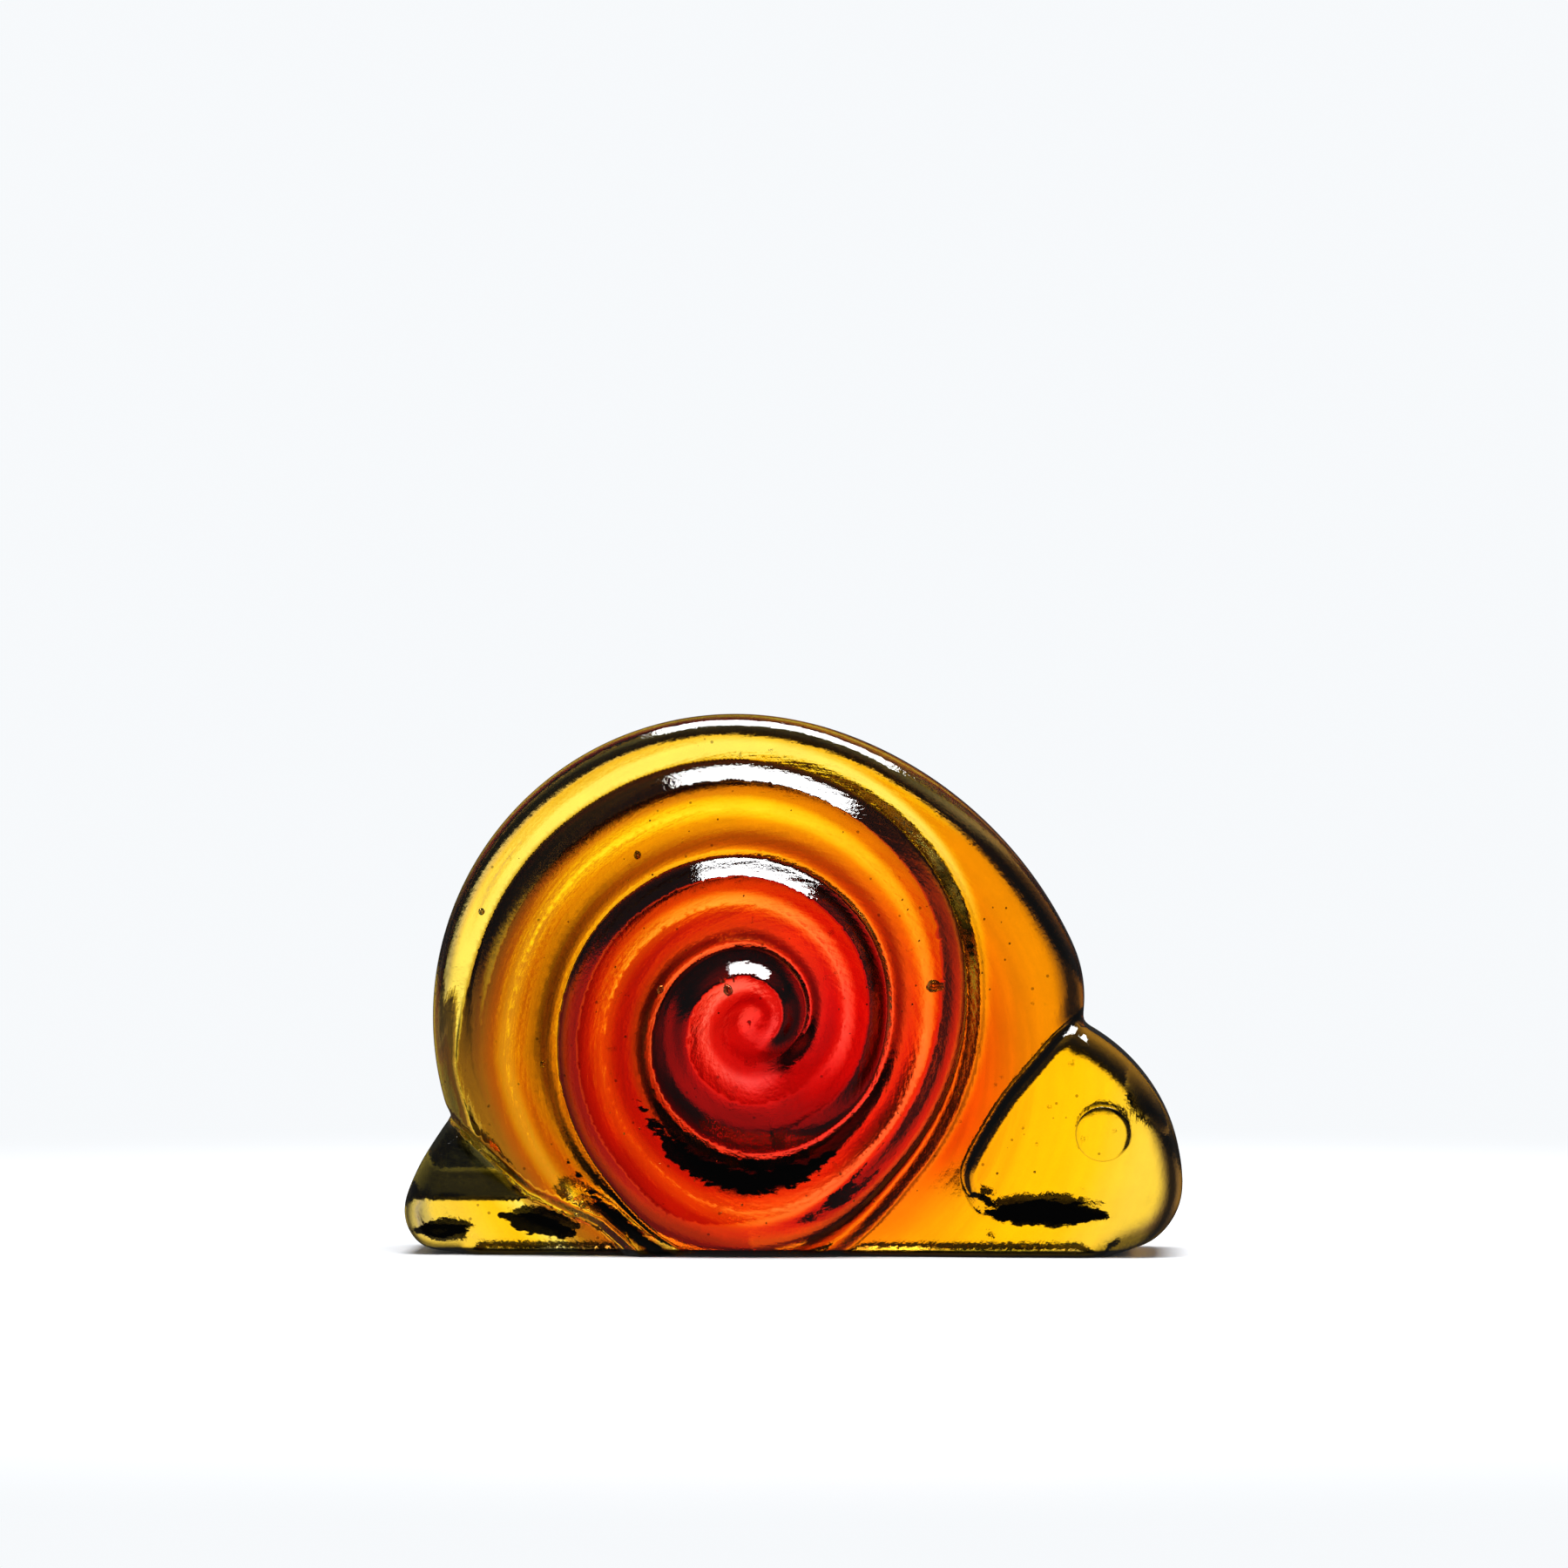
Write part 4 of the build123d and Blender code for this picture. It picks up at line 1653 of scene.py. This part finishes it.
@dataclass(frozen=True)
class StruckGlass:
    """Glass that takes its colour, painted shade and painted light from the mesh, with streaks and a cast
    skin.
    """

    heart: Pair = HEART
    ior: float = 1.5
    streak_turns: float = 2.2
    streak_rings: float = 800.0
    streak_detail: float = 4.0
    streak_noise: Pair = (0.3, 0.72)
    streak_low: float = 0.84
    calm_low: float = 0.96
    calm_reach: Pair = (30 * MM, 36 * MM)
    highest: float = 1.02
    cloud_scale: float = 210.0
    cloud_detail: float = 5.0
    cloud_noise: Pair = (0.3, 0.7)
    cloud_low: float = 0.92
    # The ragged edges and the darkness of the painted shade patches and painted shade lines.
    torn_scale: Colour = (620, 620, 1500)
    torn_detail: float = 6.0
    ragged: float = 2.2
    patch_edge: Pair = (-0.10, 0.10)
    patch_level: float = 0.00002
    waver_scale: float = 900.0
    waver_detail: float = 3.0
    waver: float = 0.24
    line_edge: Pair = (-0.16, 0.12)
    line_level: float = 0.0012
    speck_scale: float = 380.0
    speck_edge: Pair = (0.066, 0.092)
    speck_level: float = 0.22
    dull_scale: float = 260.0
    dull_detail: float = 4.0
    dull_noise: Pair = (0.4, 0.8)
    dullest: float = 0.035
    peel_scale: float = 1900.0
    peel_detail: float = 3.0
    swell_scale: float = 1.6
    swell_detail: float = 2.0
    swell_level: float = 1.3
    bump_strength: float = 0.5
    bump_distance: float = 0.05 * MM

    def black(self, nodes: Nodes, place: Socket) -> Socket:
        """Darken the painted shade patches, the painted shade lines and the specks.

        Args:
            nodes: The material's nodes.
            place: Where the light meets the glass.

        Returns:
            A factor for the colour, 1 in clear glass.
        """
        torn = nodes.vector("MULTIPLY", place, self.torn_scale).outputs[0]
        tear = nodes.noise(torn, 1.0, self.torn_detail)
        ragged = nodes.math("MULTIPLY_ADD", tear, self.ragged, -self.ragged / 2)
        shade_patch = nodes.math("ADD", nodes.attribute("shade_patch", "Fac"), ragged)
        black = nodes.ramp(shade_patch, self.patch_edge, 1.0, self.patch_level)
        tremble = nodes.noise(place, self.waver_scale, self.waver_detail)
        waver = nodes.math("MULTIPLY_ADD", tremble, self.waver, -self.waver / 2)
        shade_line = nodes.math("ADD", nodes.attribute("shade_line", "Fac"), waver)
        line = nodes.ramp(shade_line, self.line_edge, 1.0, self.line_level)
        cells = nodes.add("ShaderNodeTexVoronoi")
        nodes.feed_all(cells, ("Vector", "Scale"), (place, self.speck_scale))
        speck = nodes.ramp(cells.outputs["Distance"], self.speck_edge, self.speck_level, 1.0)
        return nodes.math("MULTIPLY", nodes.math("MULTIPLY", black, line), speck)

    def make(self) -> bpy.types.Material:
        """Build the material.

        Returns:
            The material.
        """
        material, nodes, surface = Nodes.material("struck_glass")
        glass = nodes.add("ShaderNodeBsdfPrincipled")
        nodes.feed_all(glass, ("Transmission Weight", "IOR"), (1.0, self.ior))
        nodes.feed(surface, glass.outputs[0])
        place = nodes.add("ShaderNodeNewGeometry").outputs["Position"]
        off = nodes.vector("SUBTRACT", place, (self.heart[0], 0, self.heart[1])).outputs[0]
        flat = nodes.vector("MULTIPLY", off, (1, 0, 1)).outputs[0]
        distance = nodes.vector("LENGTH", flat).outputs["Value"]
        way = nodes.vector("NORMALIZE", flat).outputs[0]
        polar = nodes.add("ShaderNodeCombineXYZ")
        nodes.feed(polar.inputs[1], nodes.math("MULTIPLY", distance, self.streak_rings))
        rings = nodes.vector("ADD", nodes.scaled(way, self.streak_turns), polar.outputs[0]).outputs[0]
        calm = nodes.ramp(distance, self.calm_reach, self.streak_low, self.calm_low)
        flow = nodes.noise(rings, 1.0, self.streak_detail)
        streak = nodes.ramp(flow, self.streak_noise, calm, self.highest)
        haze = nodes.noise(place, self.cloud_scale, self.cloud_detail)
        cloud = nodes.ramp(haze, self.cloud_noise, self.cloud_low, self.highest)
        level = nodes.math("MULTIPLY", self.black(nodes, place), nodes.math("MULTIPLY", streak, cloud))
        nodes.feed(glass.inputs["Base Color"], nodes.scaled(nodes.attribute("tint", "Color"), level))
        dull = nodes.noise(place, self.dull_scale, self.dull_detail)
        nodes.feed(glass.inputs["Roughness"], nodes.ramp(dull, self.dull_noise, 0.0, self.dullest))
        peel = nodes.noise(place, self.peel_scale, self.peel_detail)
        swell = nodes.noise(rings, self.swell_scale, self.swell_detail)
        height = nodes.math("MULTIPLY_ADD", swell, self.swell_level, peel)
        bump = nodes.add("ShaderNodeBump")
        settings = (self.bump_strength, self.bump_distance, height)
        nodes.feed_all(bump, ("Strength", "Distance", "Height"), settings)
        nodes.feed(glass.inputs["Normal"], bump.outputs[0])
        return material


@dataclass(frozen=True)
class Seam:
    """Places where two zones of the one casting meet: nothing is to be seen there."""

    def make(self) -> bpy.types.Material:
        """Build the material.

        Returns:
            The material.
        """
        material, nodes, surface = Nodes.material("inside_the_casting")
        nodes.feed(surface, nodes.add("ShaderNodeBsdfTransparent").outputs[0])
        return material


@dataclass(frozen=True)
class Studio:
    """The pale floor, the light and the camera.

    Turns are in degrees, from the level line straight through the object.
    Levels are shares of the studio's brightness, for light that is seen
    through the glass unless the name says otherwise.
    """

    distance: float = 0.8
    height: float = 60.4 * MM
    across: float = -1.4 * MM
    azimuth: float = 3.0
    lens: float = 142.0
    backlight: float = 1.45
    left_turn: Pair = (-22, -5)
    left_level: float = 0.04
    right_turn: Pair = (5, 24)
    right_level: float = 0.18
    end_turn: Pair = (24, 44)
    end_level: float = 0.6
    up_turn: Pair = (6, 24)
    up_level: float = 0.2
    down_turn: Pair = (-10, -6.5)
    down_level: float = 0.01
    table_turn: Pair = (-40, -13)
    table_level: float = 0.8
    straight_turn: Pair = (0, 30)
    straight_share: float = 0.6
    mirrored_y: Pair = (0.5, 0.9)
    mirrored_level: float = 0.03
    mirrored_side_level: float = 0.12
    floor_level: float = 0.6
    floor_half: float = 3.0
    floor_colour: tuple[float, float, float, float] = (0.72, 0.73, 0.75, 1)
    floor_polish: float = 0.22
    floor_fade: Pair = (0.08, 0.30)
    glow: tuple[float, float, float, float] = (0.93, 0.95, 0.97, 1)
    lamp_size: Pair = (0.72, 0.4)
    lamp_watts: float = 26
    lamp_place: tuple[float, float, float] = (0.08, -0.07, 0.8)
    lamp_tilt: float = -5

    def camera(self) -> None:
        """Place the camera at the photograph's angle."""
        data = bpy.data.cameras.new("camera")
        data.lens = self.lens
        camera = bpy.data.objects.new("camera", data)
        turn = math.radians(self.azimuth)
        x = self.across * math.cos(turn) + self.distance * math.sin(turn)
        camera.location = (x, -self.distance * math.cos(turn), self.height)
        camera.rotation_euler = (math.pi / 2, 0, turn)
        bpy.context.scene.collection.objects.link(camera)
        bpy.context.scene.camera = camera

    def floor(self) -> None:
        """Lay a pale, slightly polished floor that fades into the backdrop."""
        mesh = bpy.data.meshes.new("floor")
        size = self.floor_half
        corners = [(-size, -size, 0), (size, -size, 0), (size, size, 0), (-size, size, 0)]
        mesh.from_pydata(corners, [], [(0, 1, 2, 3)])
        floor = bpy.data.objects.new("floor", mesh)
        bpy.context.scene.collection.objects.link(floor)
        material, nodes, surface = Nodes.material("pale_floor")
        shader = nodes.add("ShaderNodeBsdfPrincipled")
        nodes.feed_all(shader, ("Base Color", "Roughness"), (self.floor_colour, self.floor_polish))
        glow = nodes.add("ShaderNodeEmission")
        glow.inputs["Color"].default_value = self.glow
        place = nodes.add("ShaderNodeNewGeometry").outputs["Position"]
        reach = nodes.vector("LENGTH", place).outputs["Value"]
        faded = nodes.blend(nodes.ramp(reach, self.floor_fade, 0.0, 1.0), shader.outputs[0], glow.outputs[0])
        path = nodes.add("ShaderNodeLightPath")
        through = nodes.math("MAXIMUM", path.outputs["Is Transmission Ray"], path.outputs["Is Glossy Ray"])
        unseen = nodes.add("ShaderNodeBsdfTransparent").outputs[0]
        nodes.feed(surface, nodes.blend(through, faded, unseen))
        mesh.materials.append(material)

    def through_level(self, nodes: Nodes) -> Socket:
        """Return how bright the studio is for light seen through the glass.

        Args:
            nodes: The world's nodes.

        Returns:
            The level: white straight behind and before the object, dark beside and below it.
        """
        split = nodes.direction()
        depth = nodes.math("ABSOLUTE", split.outputs["Y"])
        aside = nodes.math("ARCTAN2", split.outputs["X"], depth)
        lift = nodes.math("ARCSINE", split.outputs["Z"])
        right = nodes.turn(aside, self.right_turn, 1.0, self.right_level)
        left = nodes.turn(aside, self.left_turn, self.left_level, 1.0)
        wide = nodes.math("ABSOLUTE", aside)
        ends = nodes.turn(wide, self.end_turn, 0.0, self.end_level)
        level = nodes.math("MAXIMUM", nodes.math("MULTIPLY", right, left), ends)
        up = nodes.turn(lift, self.up_turn, 1.0, self.up_level)
        down = nodes.turn(lift, self.down_turn, self.down_level, 1.0)
        table = nodes.turn(lift, self.table_turn, self.table_level, 0.0)
        straight = nodes.turn(wide, self.straight_turn, self.straight_share, 1.0)
        table = nodes.math("MULTIPLY", table, straight)
        level = nodes.math("MAXIMUM", nodes.math("MULTIPLY", level, nodes.math("MULTIPLY", up, down)), table)
        return nodes.math("MULTIPLY", level, self.backlight)

    def world(self) -> None:
        """Light the scene: white to the camera, a dark studio with a bright wall for the glass."""
        world = bpy.data.worlds.new("studio")
        bpy.context.scene.world = world
        world.use_nodes = True
        nodes = Nodes(world.node_tree)
        out = nodes.add("ShaderNodeOutputWorld")
        back = nodes.add("ShaderNodeBackground")
        nodes.feed(out.inputs["Surface"], back.outputs[0])
        path = nodes.add("ShaderNodeLightPath")
        depth = nodes.math("ABSOLUTE", nodes.direction().outputs["Y"])
        mirrored = nodes.ramp(depth, self.mirrored_y, self.mirrored_side_level, self.mirrored_level)
        rays = (
            ("Is Glossy Ray", mirrored),
            ("Is Transmission Ray", self.through_level(nodes)),
            ("Is Camera Ray", 1.0),
        )
        level: object = self.floor_level
        for ray, value in rays:
            pick = nodes.add("ShaderNodeMix", data_type="FLOAT")
            nodes.feed_all(pick, ("Factor", "A", "B"), (path.outputs[ray], level, value))
            level = pick.outputs["Result"]
        back.inputs["Color"].default_value = self.glow
        nodes.feed(back.inputs["Strength"], level)

    def lamp(self) -> None:
        """Hang a soft box over the object."""
        data = bpy.data.lights.new("soft_box", "AREA")
        data.shape = "RECTANGLE"
        data.size, data.size_y = self.lamp_size
        data.energy = self.lamp_watts
        lamp = bpy.data.objects.new("soft_box", data)
        lamp.location = self.lamp_place
        lamp.rotation_euler = (math.radians(self.lamp_tilt), 0, 0)
        bpy.context.scene.collection.objects.link(lamp)


def main() -> None:
    """Build the snail, piece by piece, then the studio."""
    logging.basicConfig(level=logging.INFO, format="%(message)s")
    bpy.context.scene.view_settings.view_transform = "Standard"
    studio = Studio()
    studio.camera()
    Pressing(StruckGlass().make(), Seam().make()).build()
    studio.floor()
    studio.world()
    studio.lamp()


if __name__ == "__main__":
    main()
